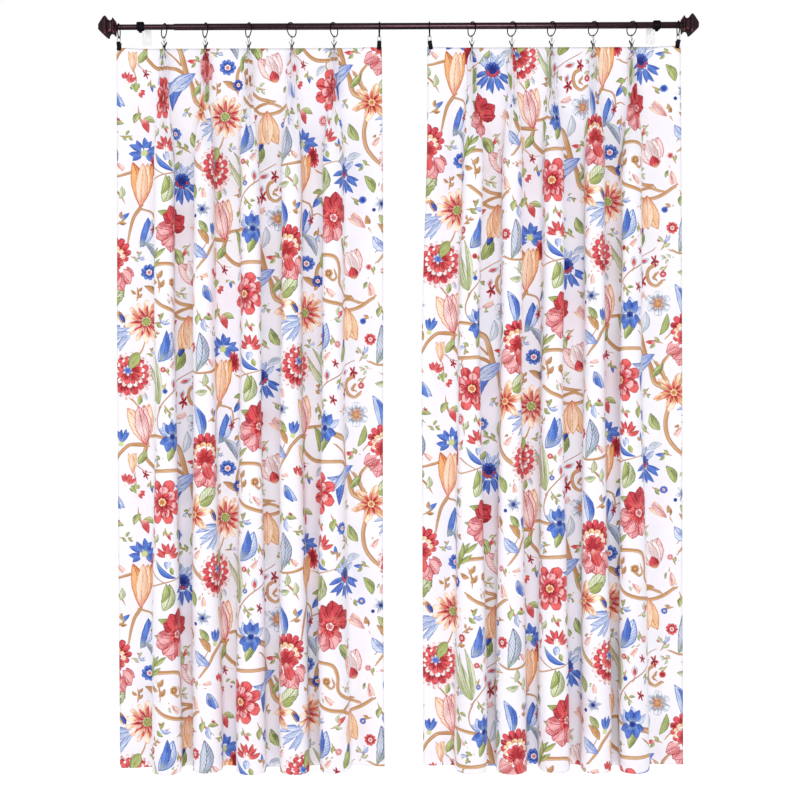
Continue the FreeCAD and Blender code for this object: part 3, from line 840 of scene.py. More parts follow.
@dataclass
class SheetGrid:
    """A sheet's two faces as grids of points, rows from the top down."""

    name: str
    along: Array
    down: Array
    front: Array
    back: Array
    hems: Spot

    def build(self) -> Piece:
        """Make the closed mesh with its cloth coordinates and its layout.

        Returns:
            The piece.
        """
        rows, columns = len(self.down), len(self.along)
        index = np.arange(rows * columns).reshape(rows, columns)
        behind = index + rows * columns
        faces = np.concatenate([self.quads(index), self.quads(behind)[:, ::-1], *self.border(index, behind)])
        points = np.concatenate([self.front.reshape(-1, 3), self.back.reshape(-1, 3)])
        mesh = bpy.data.meshes.new(self.name)
        mesh.from_pydata(points.tolist(), [], faces.tolist())
        piece = bpy.data.objects.new(self.name, mesh)
        show(piece)
        self.lay_out(mesh, faces)
        mesh.shade_smooth()
        mesh.update()
        return piece

    def quads(self, index: Array) -> Array:
        """The faces of one side, seen from the room anticlockwise."""
        corners = [index[:-1, :-1], index[1:, :-1], index[1:, 1:], index[:-1, 1:]]
        return np.stack(corners, axis=-1).reshape(-1, 4)

    def border(self, index: Array, behind: Array) -> list[Array]:
        """The narrow faces that close the sheet's four edges."""
        rims = []
        for line, back_line in ((index[0], behind[0]), (index[::-1, 0], behind[::-1, 0]),
                                (index[-1, ::-1], behind[-1, ::-1]), (index[:, -1], behind[:, -1])):
            rims.append(np.stack([line[:-1], line[1:], back_line[1:], back_line[:-1]], axis=-1))
        return rims

    def lay_out(self, mesh: Mesh, faces: Array) -> None:
        """Store cloth coordinates, the nearest hem's line and the layout for baking.

        Args:
            mesh: The sheet's mesh.
            faces: Its faces, front first.
        """
        rows, columns = len(self.down), len(self.along)
        u = np.tile(self.along, rows)
        v = np.repeat(self.down, columns)
        u, v = np.concatenate([u, u]), np.concatenate([v, v])
        corner_u, corner_v = u[faces], v[faces]
        cloth = np.stack([corner_u, corner_v, np.zeros_like(corner_u)], axis=-1)
        store(mesh, "cloth", "CORNER", cloth)
        side, bottom = self.hems
        lines = [corner_u - side, corner_u - (self.along[-1] - side), corner_v - (self.down[-1] - bottom)]
        runs = [corner_v, corner_v, corner_u]
        nearest = np.argmin([np.abs(line.mean(axis=1)) for line in lines], axis=0)[:, None]
        away = np.choose(nearest, lines)
        run = np.choose(nearest, runs)
        store(mesh, "hem", "CORNER", np.stack([away, run, np.zeros_like(run)], axis=-1))
        sheet_u = corner_u / self.along[-1]
        sheet_v = 1.0 - corner_v / self.down[-1]
        count = (rows - 1) * (columns - 1)
        is_back = np.arange(len(faces)) >= count
        sheet_u = np.where(is_back[:, None], 0.65 + 0.34 * sheet_u, 0.005 + 0.62 * sheet_u)
        layer = mesh.uv_layers.new(name="OFBake")
        packed = np.stack([sheet_u, 0.005 + 0.99 * sheet_v], axis=-1)
        layer.data.foreach_set("uv", packed.astype(np.float32).ravel())


def store(mesh: Mesh, name: str, domain: str, values: Array) -> None:
    """Store a vector for each corner or face of a mesh."""
    layer = mesh.attributes.new(name, "FLOAT_VECTOR", domain)
    layer.data.foreach_set("vector", values.astype(np.float32).ravel())


def behind_of(front: Array, gap: Array | float) -> Array:
    """A grid of points moved away from the room, square to its surface.

    Args:
        front: Rows and columns of points.
        gap: How far, everywhere or for each point.

    Returns:
        The moved grid.
    """
    across = np.gradient(front, axis=1)
    down = np.gradient(front, axis=0)
    normal = np.cross(down, across)
    normal /= np.linalg.norm(normal, axis=-1, keepdims=True)
    return front - normal * np.reshape(gap, np.shape(gap) + (1,))


@dataclass
class Curtain:
    """One curtain: face cloth, stiff header strip and lining."""

    hand: Hand
    flat_width: float = 1.321
    side_hem: float = 0.038
    bottom_hem: float = 0.100
    header_height: float = 0.100
    flare_height: float = 0.258
    header_back: float = 0.008
    cloth_thickness: float = 0.0005
    hem_thickness: float = 0.0016
    grip_thickness: float = 0.0030
    lining_gap: float = 0.0025
    hem_bulge: float = 0.043
    hem_root: float = 0.011
    lean_reach: float = 0.013
    seed: int = 7
    pieces: list[Piece] = field(default_factory=list)

    def __post_init__(self) -> None:
        """Take the curtain's place from the frame."""
        self.side = self.hand.value
        low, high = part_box(f"{self.side}_panel")
        self.left, self.right = low[0], high[0]
        self.top, self.bottom = high[2], low[2]
        self.pleats = sorted(middle_of(f"{self.side}_ring_{i}").x for i in range(2, 7))
        self.fold = FoldShape((self.flat_width - (self.right - self.left)) / len(self.pleats))
        self.crests = [x - self.left + self.fold.fullness * (i + 0.5) for i, x in enumerate(self.pleats)]
        self.random = np.random.default_rng(self.seed + (self.hand is Hand.RIGHT))
        self.sways = self.random.uniform(0, 2 * pi, (len(self.pleats), 4))
        self.leans = self.random.uniform(-1, 1, len(self.pleats)) + self.lean_trims()
        self.widest = FoldShape(self.fold.fullness, self.hem_bulge, self.hem_root)

    def lean_trims(self) -> tuple[float, ...]:
        """How much further each fold leans to the right, from the left one on."""
        if self.hand is Hand.LEFT:
            return 1.3, 0.6, 0.6, 0.85, 0.0
        return -0.4, 0.4, 0.4, 0.0, -0.4

    def fold_at(self, down: float) -> FoldShape:
        """The open fold's shape at one height, fuller towards the hem."""
        share = float(step(down, 0.75, 2.05))
        bulge = self.fold.bulge_radius + (self.hem_bulge - self.fold.bulge_radius) * share
        root = self.fold.root_radius + (self.hem_root - self.fold.root_radius) * share
        return FoldShape(self.fold.fullness, bulge, root)

    @property
    def drop(self) -> float:
        """Finished height."""
        return self.top - self.bottom

    def columns(self) -> Array:
        """Places of the mesh's columns along the flat cloth."""
        places = {0.0, self.flat_width}
        for crest in self.crests:
            for mark in self.widest.marks():
                places.update((crest - mark, crest + mark))
        for edge, sign in ((0.0, 1), (self.flat_width, -1)):
            end = self.crests[0] if sign > 0 else self.flat_width - self.crests[-1]
            room = end - self.widest.half_cloth
            inner = [self.side_hem * i / 4 for i in range(1, 5)]
            inner += [self.side_hem + (room - self.side_hem) * i / 6 for i in range(1, 6)]
            places.update(edge + sign * place for place in inner)
        ordered = sorted(places)
        kept = [ordered[0]]
        for place in ordered[1:]:
            if place - kept[-1] > 0.0004:
                kept.append(place)
        kept[-1] = self.flat_width
        return np.array(kept)

    def rows(self, top_rows: int, rows: int) -> Array:
        """Places of the mesh's rows down from the top edge, closer in the header."""
        header = self.header_height * 1.1
        close = np.linspace(0.0, header, top_rows)
        return np.concatenate([close, np.linspace(header, self.drop, rows - top_rows + 1)[1:]])

    def plan(self, along: Array, down: float) -> tuple[Array, Array, Array]:
        """The cloth's line in plan at one height.

        Args:
            along: Places along the flat cloth.
            down: Distance below the top edge.

        Returns:
            X, distance into the room from the header's plane, and the share
            of the open fold's depth.
        """
        fold = self.fold_at(down)
        ends = [0.0]
        exes = [self.left]
        for x, crest in zip(self.pleats, self.crests):
            ends += [crest - fold.half_cloth, crest + fold.half_cloth]
            exes += [x - fold.half_width, x + fold.half_width]
        x_flat = np.interp(along, ends + [self.flat_width], exes + [self.right])
        x_open, x_pinch = x_flat.copy(), x_flat.copy()
        out_open, out_pinch = np.zeros_like(along), np.zeros_like(along)
        fan = radians(33) * float(step(down, 0.008, 0.045) - 0.12 * step(down, 0.055, 0.100))
        gap = 0.00030 + 0.00110 * float(step(down, 0.009, 0.030))
        for x, crest in zip(self.pleats, self.crests):
            inside = np.abs(along - crest) <= fold.half_cloth + 1e-9
            signed = along[inside] - crest
            reach = np.abs(signed)
            across, out = fold.opened(reach)
            x_open[inside] = x + np.sign(signed) * across
            out_open[inside] = out
            across, out = fold.pinched(reach, gap, fan)
            x_pinch[inside] = x + np.sign(signed) * across
            out_pinch[inside] = out
        spread = float(step(down, self.header_height * 0.96, self.header_height + self.flare_height))
        x = x_pinch + (x_open - x_pinch) * spread
        out = out_pinch + (out_open - out_pinch) * spread
        share = out_open / (fold.root_radius + fold.side + fold.bulge_radius)
        return x, out, share * spread

    def hang(self, x: Array, out: Array, share: Array, down: float,
             along: Array) -> tuple[Array, Array]:
        """Let a line of cloth wander as it falls.

        Args:
            x: The line's x.
            out: Its distance into the room.
            share: Share of the open fold's depth.
            down: Distance below the top edge.
            along: Places along the flat cloth.

        Returns:
            The new x and distance into the room.
        """
        fall = float(step(down, self.header_height, 0.9))
        nearest = np.argmin([np.abs(along - crest) for crest in self.crests], axis=0)
        phase, second, third, fourth = self.sways[nearest].T
        lean = self.leans[nearest] * self.lean_reach * float(step(down, self.header_height, 0.45))
        drift = 0.0042 * np.sin(down * 3.1 + phase) + 0.0022 * np.sin(down * 7.3 + second)
        depth = 0.030 * np.sin(down * 2.3 + third) + 0.022 * np.sin(down * 5.9 + fourth)
        x = x + share * (drift * fall + lean)
        out = out * (1.0 + depth * fall) + 0.0008 * fall * np.sin(along * 55 + down * 9)
        hem = float(step(down, self.drop - 0.16, self.drop))
        x = x + share * hem * 0.004 * np.sin(phase * 5)
        sides = self.edge_drift(down)
        weight = along / self.flat_width
        x = x + sides[0] * (1 - weight) ** 2 + sides[1] * weight ** 2
        return x, out

    def edge_drift(self, down: float) -> Spot:
        """How far the left and right edges stray outwards as the curtain falls."""
        if self.hand is Hand.RIGHT:
            return -0.020 * float(step(down, 0.15, 0.95)), 0.001 * sin(down * 2.5)
        return -0.002 * float(step(down, 0.2, 1.2)) * sin(down * 2.0), 0.002 * sin(down * 3.1)

    def surface(self, along: Array, down: Array) -> Array:
        """The cloth's middle surface as rows and columns of points."""
        swerve = step(along, self.side_hem, self.side_hem + 0.045)
        swerve = swerve * step(self.flat_width - along, self.side_hem, self.side_hem + 0.045)
        base = ROD_Y + self.header_back * swerve
        grid = np.empty((len(down), len(along), 3))
        for row, depth in enumerate(down):
            x, out, share = self.plan(along, depth)
            x, out = self.hang(x, out, share, depth, along)
            hem = float(step(depth, self.drop * 0.75, self.drop))
            droop = 0.0025 * np.sin(along * 9.0 + self.sways[0, 0]) - 0.002 * share
            grid[row, :, 0] = x
            grid[row, :, 1] = base - out
            grid[row, :, 2] = self.top - depth + hem * np.maximum(droop + 0.0028, 0.0)
        return grid

    def thickness(self, along: Array, down: Array) -> Array:
        """Thickness of the cloth at each row and column."""
        inner = step(along, self.side_hem - 0.001, self.side_hem + 0.001)
        inner = inner * step(self.flat_width - along, self.side_hem - 0.001, self.side_hem + 0.001)
        in_header = 1.0 - step(down, self.header_height - 0.004, self.header_height + 0.004)
        at_edge = self.hem_thickness + (self.grip_thickness - self.hem_thickness) * in_header
        hem = step(down, self.drop - self.bottom_hem - 0.002, self.drop - self.bottom_hem + 0.002)
        field_ = self.cloth_thickness + hem * 0.0004
        return at_edge[:, None] * (1 - inner[None, :]) + field_[:, None] * inner[None, :]

    def make_panel(self, finish: Material, print_plan: "PrintPlan") -> Piece:
        """The printed face cloth.

        Args:
            finish: The printed cloth's material.
            print_plan: Where the motifs lie.

        Returns:
            The piece.
        """
        along = self.columns()
        down = self.rows(18, 204)
        middle = self.surface(along, down)
        thick = self.thickness(along, down)
        front, back = behind_of(middle, -thick / 2), behind_of(middle, thick / 2)
        grid = SheetGrid(f"{self.side}_curtain_face", along, down, front, back,
                         (self.side_hem, self.bottom_hem))
        piece = grid.build()
        print_plan.paint(piece, grid)
        piece.data.materials.append(finish)
        return self.seat(piece, "panel")

    def make_lining(self, finish: Material) -> Piece:
        """The plain lining, which follows the folds below the header."""
        low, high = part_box(f"{self.side}_lining")
        columns = self.columns()
        inset = self.side_hem
        along = columns[(columns > inset - 1e-6) & (columns < self.flat_width - inset + 1e-6)][::2]
        length = high[2] - low[2]
        header = self.header_height
        down = np.concatenate([np.linspace(0.0, header, 8), np.linspace(header, length, 96)[1:]])
        down = down + (self.top - high[2])
        face = behind_of(self.surface(columns, down), self.lining_gap)
        keep = np.isin(columns, along)
        followed = face[:, keep]
        x_flat = np.interp(along, [along[0], along[-1]], [low[0], high[0]])
        flat_y = (low[1] + high[1]) / 2
        flare = header + self.flare_height
        gathered = step(down, header + 0.12, flare - 0.02)[:, None]
        opened = step(down, flare - 0.04, flare + 0.15)[:, None]
        middle = followed.copy()
        middle[:, :, 0] = x_flat + (followed[:, :, 0] - x_flat) * gathered
        middle[:, :, 1] = flat_y + (followed[:, :, 1] - flat_y) * opened
        back = behind_of(middle, 0.0005)
        grid = SheetGrid(f"{self.side}_curtain_lining", along - along[0], down - down[0],
                         middle, back, (0.020, 0.075))
        piece = grid.build()
        piece.data.materials.append(finish)
        return self.seat(piece, "lining")

    def make_header_strip(self, finish: Material) -> Piece:
        """The stiff strip behind the pleats, with its open weave and stitched edges."""
        low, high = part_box(f"{self.side}_header_strip")
        along = np.linspace(0.0, high[0] - low[0], 120)
        down = np.linspace(0.0, high[2] - low[2], 16)
        grid = np.empty((len(down), len(along), 3))
        grid[:, :, 0] = low[0] + along
        bow = 0.00010 * np.sin(along * 40)[None, :] * np.sin(down * 31)[:, None]
        grid[:, :, 1] = low[1] + 0.00012 + bow
        grid[:, :, 2] = (high[2] - down)[:, None]
        back = grid + np.array([0.0, 0.00055, 0.0])
        sheet = SheetGrid(f"{self.side}_header_stiffener", along, down, grid, back, (0.006, 0.006))
        piece = sheet.build()
        piece.data.materials.append(finish)
        return self.seat(piece, "header_strip")

    def seat(self, piece: Piece, node: str) -> Piece:
        """Hang a piece on the rod, in place of its CAD node."""
        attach(piece, "mounted_rod")
        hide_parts(f"{self.side}_{node}")
        anchor_x = middle_of(f"{self.side}_bracket_plate").x
        f"{self.side}_draw"
        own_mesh(piece)
        self.pieces.append(piece)
        return piece

    def declare(self) -> None:
        """Read the boxes of the lining and the header strip."""
        low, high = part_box(f"{self.side}_lining")
        [f"{self.side}_clip_{i}" for i in range(1, 8)]
        f"{self.side}_curtain_face"
        low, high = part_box(f"{self.side}_header_strip")
        f"{self.side}_curtain_face"

    def build(self, finishes: dict[str, Material], print_plan: "PrintPlan") -> None:
        """Make the three pieces and report them.

        Args:
            finishes: Materials by name.
            print_plan: Where the motifs lie.
        """
        self.make_panel(finishes["printed_cloth"], print_plan)
        self.make_header_strip(finishes["buckram"])
        self.make_lining(finishes["lining_cloth"])
        self.declare()
        for piece in self.pieces:
            LOG.info("%s: %d faces", piece.name, len(piece.data.polygons))


# --- the print
def ink(red: int, green: int, blue: int) -> Colour:
    """A linear colour from dye values of 0 to 255."""
    values = [v / 255 for v in (red, green, blue)]
    return tuple(v / 12.92 if v <= 0.04045 else ((v + 0.055) / 1.055) ** 2.4 for v in values)


def inks(*dyes: int) -> tuple[Colour, ...]:
    """Linear colours from dye values of 0 to 255, three to a colour."""
    return tuple(ink(*dyes[i:i + 3]) for i in range(0, len(dyes), 3))


class Dye(Enum):
    """Light, deep and heart colours of a motif."""

    CRIMSON = inks(226, 84, 92, 139, 15, 31, 240, 214, 160)
    SCARLET = inks(232, 104, 104, 164, 30, 40, 250, 236, 226)
    ROSE = inks(246, 190, 192, 179, 52, 62, 176, 26, 44)
    BLUSH = inks(253, 232, 230, 189, 94, 97, 206, 44, 56)
    PEACH = inks(254, 234, 212, 214, 146, 98, 204, 54, 52)
    HONEY = inks(250, 222, 184, 204, 134, 80, 196, 120, 70)
    AMBER = inks(248, 190, 130, 190, 96, 44, 206, 60, 46)
    COBALT = inks(104, 142, 222, 35, 65, 154, 206, 214, 140)
    SKY = inks(226, 234, 248, 80, 112, 183, 66, 100, 206)
    NAVY = inks(78, 108, 196, 25, 38, 117, 32, 44, 120)
    OLIVE = inks(196, 206, 134, 94, 107, 43, 150, 160, 84)
    SAGE = inks(230, 234, 204, 117, 129, 73, 176, 186, 128)
    SLATE = inks(214, 220, 234, 102, 114, 142, 148, 168, 120)
    MIST = inks(238, 240, 246, 134, 147, 173, 196, 208, 222)
    WHITE = inks(252, 250, 250, 201, 159, 161, 226, 110, 112)
    LEAFY = inks(206, 214, 150, 80, 97, 36, 160, 172, 96)
    TAN = inks(222, 174, 122, 137, 90, 48, 214, 160, 106)


BARK = {"tan": ink(190, 138, 88), "twig": ink(176, 128, 92), "green": ink(168, 176, 110),
        "slate": ink(150, 160, 186)}


@dataclass(frozen=True)
class Stamp:
    """One printed motif, in millimetres: right and down from the pattern's own origin.

    A leaf runs from its base (x, y) for reach along angle and is wide
    across.  A bloom has its middle at (x, y), reach and wide are its radii.
    """

    x: float
    y: float
    angle: float
    reach: float
    wide: float
    dye: Dye
    petals: float = 1.0
    notch: float = 1.0
    heart: float = 0.6
    bend: float = 0.0
    flip: bool = False


Stamps = list[Stamp]


@dataclass(frozen=True)
class Vine:
    """One printed stem through points right and down, in millimetres."""

    points: tuple[Spot, ...]
    wide: float
    bark: str = "tan"
    taper: float = 0.55


def leaf(base: Spot, tip: Spot, wide: float, dye: Dye,
         veins: float = 0.6, fullness: float = 1.0, bend: float = 0.0, flip: bool = False) -> Stamp:
    """A leaf or petal from its base to its tip.

    Args:
        base: Right and down, in millimetres.
        tip: Right and down, in millimetres.
        wide: Its full width.
        dye: Its colours.
        veins: Strength of its veins.
        fullness: Above 1 it is widest near the tip, below 1 near the base.
        bend: How far its middle bows to one side, as a share of its reach.
        flip: Turns its shaded side over.

    Returns:
        The stamp.
    """
    run, fall = tip[0] - base[0], tip[1] - base[1]
    angle = degrees(atan2(fall, run))
    return Stamp(base[0], base[1], angle, hypot(run, fall), wide / 2, dye,
                 1.0, fullness, veins, bend, flip)


def bloom(x: float, y: float, radius: float, dye: Dye, petals: float = 8, notch: float = 0.3,
          heart: float = 0.2, squash: float = 1.0, angle: float = 0.0) -> Stamp:
    """A round flower, or one seen a little from the side."""
    return Stamp(x, y, angle, radius, radius * squash, dye, petals, notch, heart)


def ring_of(x: float, y: float, inner: float, outer: float, count: int, wide: float, dye: Dye,
            start: float = 0.0, sweep: float = 360.0, veins: float = 0.5,
            fullness: float = 1.2) -> Stamps:
    """Petals set round a point.

    Args:
        x: The point, to the right.
        y: The point, downwards.
        inner: Distance of the petals' bases from it.
        outer: Distance of their tips.
        count: How many petals.
        wide: Width of a petal.
        dye: Their colours.
        start: Angle of the first petal.
        sweep: Angle over which they are spread.
        veins: Strength of their veins.
        fullness: Above 1 they are widest near the tip.

    Returns:
        The stamps.
    """
    petals = []
    gap = sweep / count if sweep >= 360 else sweep / max(count - 1, 1)
    for i in range(count):
        angle = start + gap * i
        turn = radians(angle)
        reach = (outer - inner) * (0.92 + 0.16 * ((i * 7) % 5) / 4)
        base = (x + inner * cos(turn), y + inner * sin(turn))
        petals.append(Stamp(base[0], base[1], angle, reach, wide / 2, dye, 1.0, fullness, veins,
                            0.06 * (-1) ** i, i % 2 == 0))
    return petals


# Each leaf: base, tip and width in millimetres, dye, veins, fullness, bend.
LEAVES = """
140 -34 186 -124 50 SKY .6 .9 .1; 146 -36 168 -128 28 COBALT .6 .9 .08;
372 -2 386 -122 44 SLATE .9 1.05 .12; 384 186 360 88 34 SKY .8 1.0 .12;
388 186 372 100 20 COBALT .6 1.0 .14; 476 208 500 116 36 COBALT .8 1.0 .1;
484 206 512 122 18 SKY .6 1.0 .1; 305 296 226 412 46 COBALT .7 1.0 .2; 300 298 186 326 36 SKY .8 1.0 -.2;
302 296 204 372 30 SKY .6 1.0 .1; 94 258 80 180 24 OLIVE .7 1.0 .14; 166 256 204 206 26 LEAFY .7 .9 -.14;
316 242 338 176 22 OLIVE .6 1.0 .1; 345 300 432 356 40 SAGE .8 .9 -.2;
350 300 420 318 22 OLIVE .7 .9 -.1; 294 366 326 326 22 LEAFY .7; -52 348 -14 396 30 SKY .8 .9 .12;
-46 352 -26 400 18 COBALT .6 .9 .1; -42 196 -70 160 22 LEAFY .5; -40 230 -74 186 22 TAN .6 .9 .1;
-42 268 -88 224 32 SKY .8 1.0 -.12; -84 96 -112 44 28 OLIVE .7 .9 .1; 28 92 34 60 16 OLIVE .6;
52 78 40 50 12 MIST .6; -226 236 -284 214 30 OLIVE .8 .8 .12; -216 234 -190 292 34 LEAFY .8 .8 -.12;
236 -8 262 -84 36 OLIVE .8 .85 .1; 252 -50 270 -96 20 NAVY .6; 604 84 622 4 46 SAGE .8 .9 .1;
600 60 612 2 22 OLIVE .7 .9 .1; 578 -66 646 -10 18 COBALT .7 1.0 .16;
486 190 532 258 26 SLATE .9 1.0 -.16; 376 376 430 312 44 SAGE .8 .8 .1;
380 384 420 352 26 OLIVE .7 .8 .1; 530 350 488 320 20 TAN .8 .9 .1; 24 268 50 226 24 LEAFY .7;
262 236 276 168 26 MIST .8 1.0 .12; -18 -150 -40 -192 18 TAN .7 .9 .1;
-12 -152 -30 -178 14 NAVY .6 .9 .1; -128 -60 -156 -112 30 LEAFY .8 .9 -.1;
-122 -20 -166 0 22 MIST .7 .9 .1; 618 -66 612 -38 22 SKY .5 .8; 624 -44 634 -20 15 OLIVE .5;
664 -8 700 -50 20 OLIVE .7 .9 .1; 118 300 86 330 20 MIST .7 .9 .1
"""

# Each stem: width, bark, taper and the points that it passes, in millimetres.
STEMS = """
4.9 twig .55 142,98 160,76 184,54 226,30 262,8 302,-14; 3.7 twig .55 186,54 188,42 188,30;
5.5 twig .55 143,98 132,130 134,156 146,176; 6.1 tan .55 18,-46 36,-70 48,-104;
6.7 tan .55 8,74 20,88 32,104; 4.4 twig .55 -74,268 -54,240 -44,214 -54,178;
6.1 tan .55 398,186 378,204 356,226 334,250; 4.1 twig .55 22,270 40,286 60,292;
4.1 twig .55 14,296 18,316 18,338; 5.5 tan .55 531,4 560,14 606,2 640,-6 672,-14;
4.9 twig .55 560,-30 580,-14 606,2; 7.3 tan .55 481,92 512,104 520,134 516,166;
5.5 tan .55 516,140 536,132 552,140; 7.3 tan .55 125,320 118,298 128,284 148,282;
8.5 tan .55 276,296 248,262 213,232;
12.2 tan .95 49,212 44,236 54,258 84,282 130,284 176,282 240,284 276,306;
11.0 tan .9 62,184 110,180 168,190 206,200; 12.8 tan .55 46,210 20,208 -3,211 -28,234 -44,262 -72,300;
12.2 tan .9 133,-215 160,-196 197,-183 236,-176 264,-164 300,-166 330,-178 362,-200;
9.8 tan .9 236,-176 262,-190 290,-196 322,-186;
11.0 tan .55 505,-14 470,-20 440,-12 410,-4 376,-2 350,-12;
12.2 tan .8 300,34 286,44 281,62 288,84 306,94 322,84; 9.8 tan .55 306,60 300,70 308,76;
12.2 tan .9 533,352 534,300 556,272 606,262 652,268 668,300 670,346 700,372 740,380;
8.5 tan .55 635,326 648,336 658,326 652,306; 12.2 tan .55 478,88 460,116 450,150 442,192;
12.2 tan .55 338,372 322,352 326,322 344,298 366,272 392,256;
17.1 tan .95 204,200 236,212 252,224 264,262 275,301 291,337 301,378 322,392 338,400;
14.6 tan .8 -104,-128 -112,-85 -106,-42 -84,-8 -48,22 -14,44;
12.2 tan .9 -104,-150 -112,-196 -122,-236 -140,-262
"""


class Garden:
    """The motifs of one repeat, by the flower that they belong to."""

    def scalloped_flower(self) -> Stamps:
        """Red flower with an arc of white scallops, a pale star and a green calyx."""
        return [
            bloom(0, 4, 70, Dye.BLUSH, 24, 0.28, 0.0),
            bloom(0, 2, 60, Dye.CRIMSON, 15, 0.20, 0.0),
            bloom(2, -4, 45, Dye.WHITE, 14, 0.24, 0.0),
            bloom(2, -8, 38, Dye.SCARLET, 12, 0.18, 0.0),
            bloom(-4, -12, 17, Dye.SKY, 6, -0.5, 0.3),
            leaf((26, -66), (2, -14), 34, Dye.OLIVE, 0.4, 0.8),
        ]

    def daisy(self, x: float, y: float, radius: float, turn: float = 0.0) -> Stamps:
        """Flower of long peach petals with red strokes and a green heart."""
        return [bloom(x, y, radius, Dye.PEACH, 14, 0.62, 0.0, angle=turn),
                bloom(x, y, radius * 0.78, Dye.SCARLET, 11, -0.86, 0.0, angle=turn + 12),
                bloom(x, y, radius * 0.56, Dye.ROSE, 9, -0.7, 0.0, angle=turn + 30),
                bloom(x, y, radius * 0.23, Dye.LEAFY, 9, 0.15, 0.5)]

    def carnation(self, x: float, y: float) -> Stamps:
        """Tall red flower with an arc of cream scallops over looser pink petals."""
        skirt = ring_of(x + 2, y + 12, 4, 72, 7, 44, Dye.ROSE, 24, 132, 0.5, 1.25)
        head = [bloom(x, y - 30, 54, Dye.CRIMSON, 13, 0.22, 0.0, 0.94),
                bloom(x - 2, y - 18, 41, Dye.HONEY, 11, 0.20, 0.0, 0.86),
                bloom(x - 2, y - 14, 34, Dye.WHITE, 11, 0.20, 0.0, 0.84),
                bloom(x - 1, y - 4, 32, Dye.SCARLET, 7, 0.26, 0.0)]
        return skirt + head + [leaf((x - 4, y + 4), (x + 12, y + 58), 34, Dye.SCARLET, 0.5, 1.2)]

    def rose(self, x: float, y: float, radius: float) -> Stamps:
        """Large double red flower with a cream heart."""
        return [bloom(x, y, radius, Dye.SCARLET, 8, 0.34, 0.0),
                bloom(x, y, radius * 0.70, Dye.ROSE, 7, 0.36, 0.0, angle=20),
                bloom(x, y, radius * 0.44, Dye.CRIMSON, 6, 0.42, 0.0, angle=35),
                bloom(x, y, radius * 0.18, Dye.HONEY, 7, 0.2, 0.5)]

    def wild_rose(self, x: float, y: float) -> Stamps:
        """Leaning flower of a dark upper and a pink lower half, with dark leaves."""
        leaves = [leaf((x - 6, y - 10), (x - 62, y - 44), 28, Dye.OLIVE, 0.8, 0.8, 0.1),
                  leaf((x - 10, y + 6), (x - 76, y + 4), 26, Dye.LEAFY, 0.8, 0.8, -0.1)]
        lower = ring_of(x - 8, y + 12, 4, 62, 6, 46, Dye.ROSE, 40, 150, 0.6, 1.3)
        upper = ring_of(x + 8, y - 4, 2, 66, 6, 44, Dye.CRIMSON, -150, 150, 0.7, 1.3)
        return leaves + lower + upper + [bloom(x + 2, y + 4, 30, Dye.SCARLET, 6, 0.25, 0.0),
                                         bloom(x + 2, y + 2, 12, Dye.BLUSH, 5, 0.2, 0.0)]

    def blue_crown(self, x: float, y: float) -> Stamps:
        """Blue bell of pointed petals that turn outwards."""
        back = ring_of(x, y + 6, 4, 52, 5, 24, Dye.SKY, -150, 120, 0.6, 1.0)
        front = ring_of(x, y + 2, 2, 46, 4, 26, Dye.COBALT, 30, 120, 0.6, 1.0)
        side = ring_of(x, y + 2, 2, 42, 3, 26, Dye.COBALT, -120, 60, 0.6, 1.0)
        return back + front + side + [bloom(x + 2, y + 4, 11, Dye.NAVY, 6, 0.2, 0.0)]

    def star_lily(self, x: float, y: float, radius: float) -> Stamps:
        """Cream star with short red strokes from its heart."""
        return [bloom(x, y, radius * 1.1, Dye.PEACH, 6, -0.66, 0.0, angle=14),
                bloom(x, y, radius * 0.62, Dye.SCARLET, 9, -0.85, 0.0, angle=30),
                bloom(x, y, radius * 0.2, Dye.HONEY, 7, 0.2, 0.4)]

    def pale_flower(self, x: float, y: float) -> Stamps:
        """White flower with a brown heart."""
        return [bloom(x, y, 38, Dye.MIST, 6, 0.4, 0.0), bloom(x, y, 21, Dye.AMBER, 8, -0.7, 0.0),
                bloom(x, y, 8, Dye.TAN, 6, 0.2, 0.6)]

    def drooping_daisy(self, x: float, y: float) -> Stamps:
        """Dark blue head with red dots and long blue petals that hang."""
        above = ring_of(x, y, 8, 52, 5, 17, Dye.SKY, -150, 110, 0.6, 1.1)
        below = ring_of(x, y + 4, 6, 66, 9, 17, Dye.COBALT, 18, 144, 0.6, 1.1)
        head = [bloom(x, y, 25, Dye.NAVY, 12, 0.18, 0.0)]
        for i in range(7):
            turn = radians(20 + i * 24)
            head.append(bloom(x + 17 * cos(turn), y + 17 * sin(turn), 4.5, Dye.SCARLET, 5, 0.1, 0.0))
        return above + below + head

    def sprite(self, x: float, y: float, radius: float, turn: float) -> Stamps:
        """Small red zigzag sprig."""
        return [bloom(x, y, radius, Dye.CRIMSON, 5, -0.78, 0.0, 0.62, turn)]

    def seed_bud(self, base: Spot, tip: Spot, wide: float) -> Stamps:
        """White bud with a red core."""
        inner = (base[0] * 0.2 + tip[0] * 0.8, base[1] * 0.2 + tip[1] * 0.8)
        return [leaf(base, tip, wide, Dye.MIST, 0.3), leaf(base, inner, wide * 0.55, Dye.SCARLET, 0.6)]

    def tulip(self, base: Spot, tip: Spot, wide: float,
              dye: Dye = Dye.PEACH, core: Dye = Dye.BLUSH) -> Stamps:
        """Cup of overlapping petals from its base to its tip."""
        run, fall = tip[0] - base[0], tip[1] - base[1]
        side = (-fall / hypot(run, fall), run / hypot(run, fall))
        petals = []
        for share, breadth, colour in ((0.36, 0.56, dye), (-0.36, 0.56, dye), (0.18, 0.50, core),
                                       (0.0, 0.46, core)):
            end = (tip[0] + side[0] * wide * share, tip[1] + side[1] * wide * share)
            bend = -0.16 * share
            petals.append(leaf(base, end, wide * breadth, colour, 0.6, 1.05, bend, share > 0))
        return petals

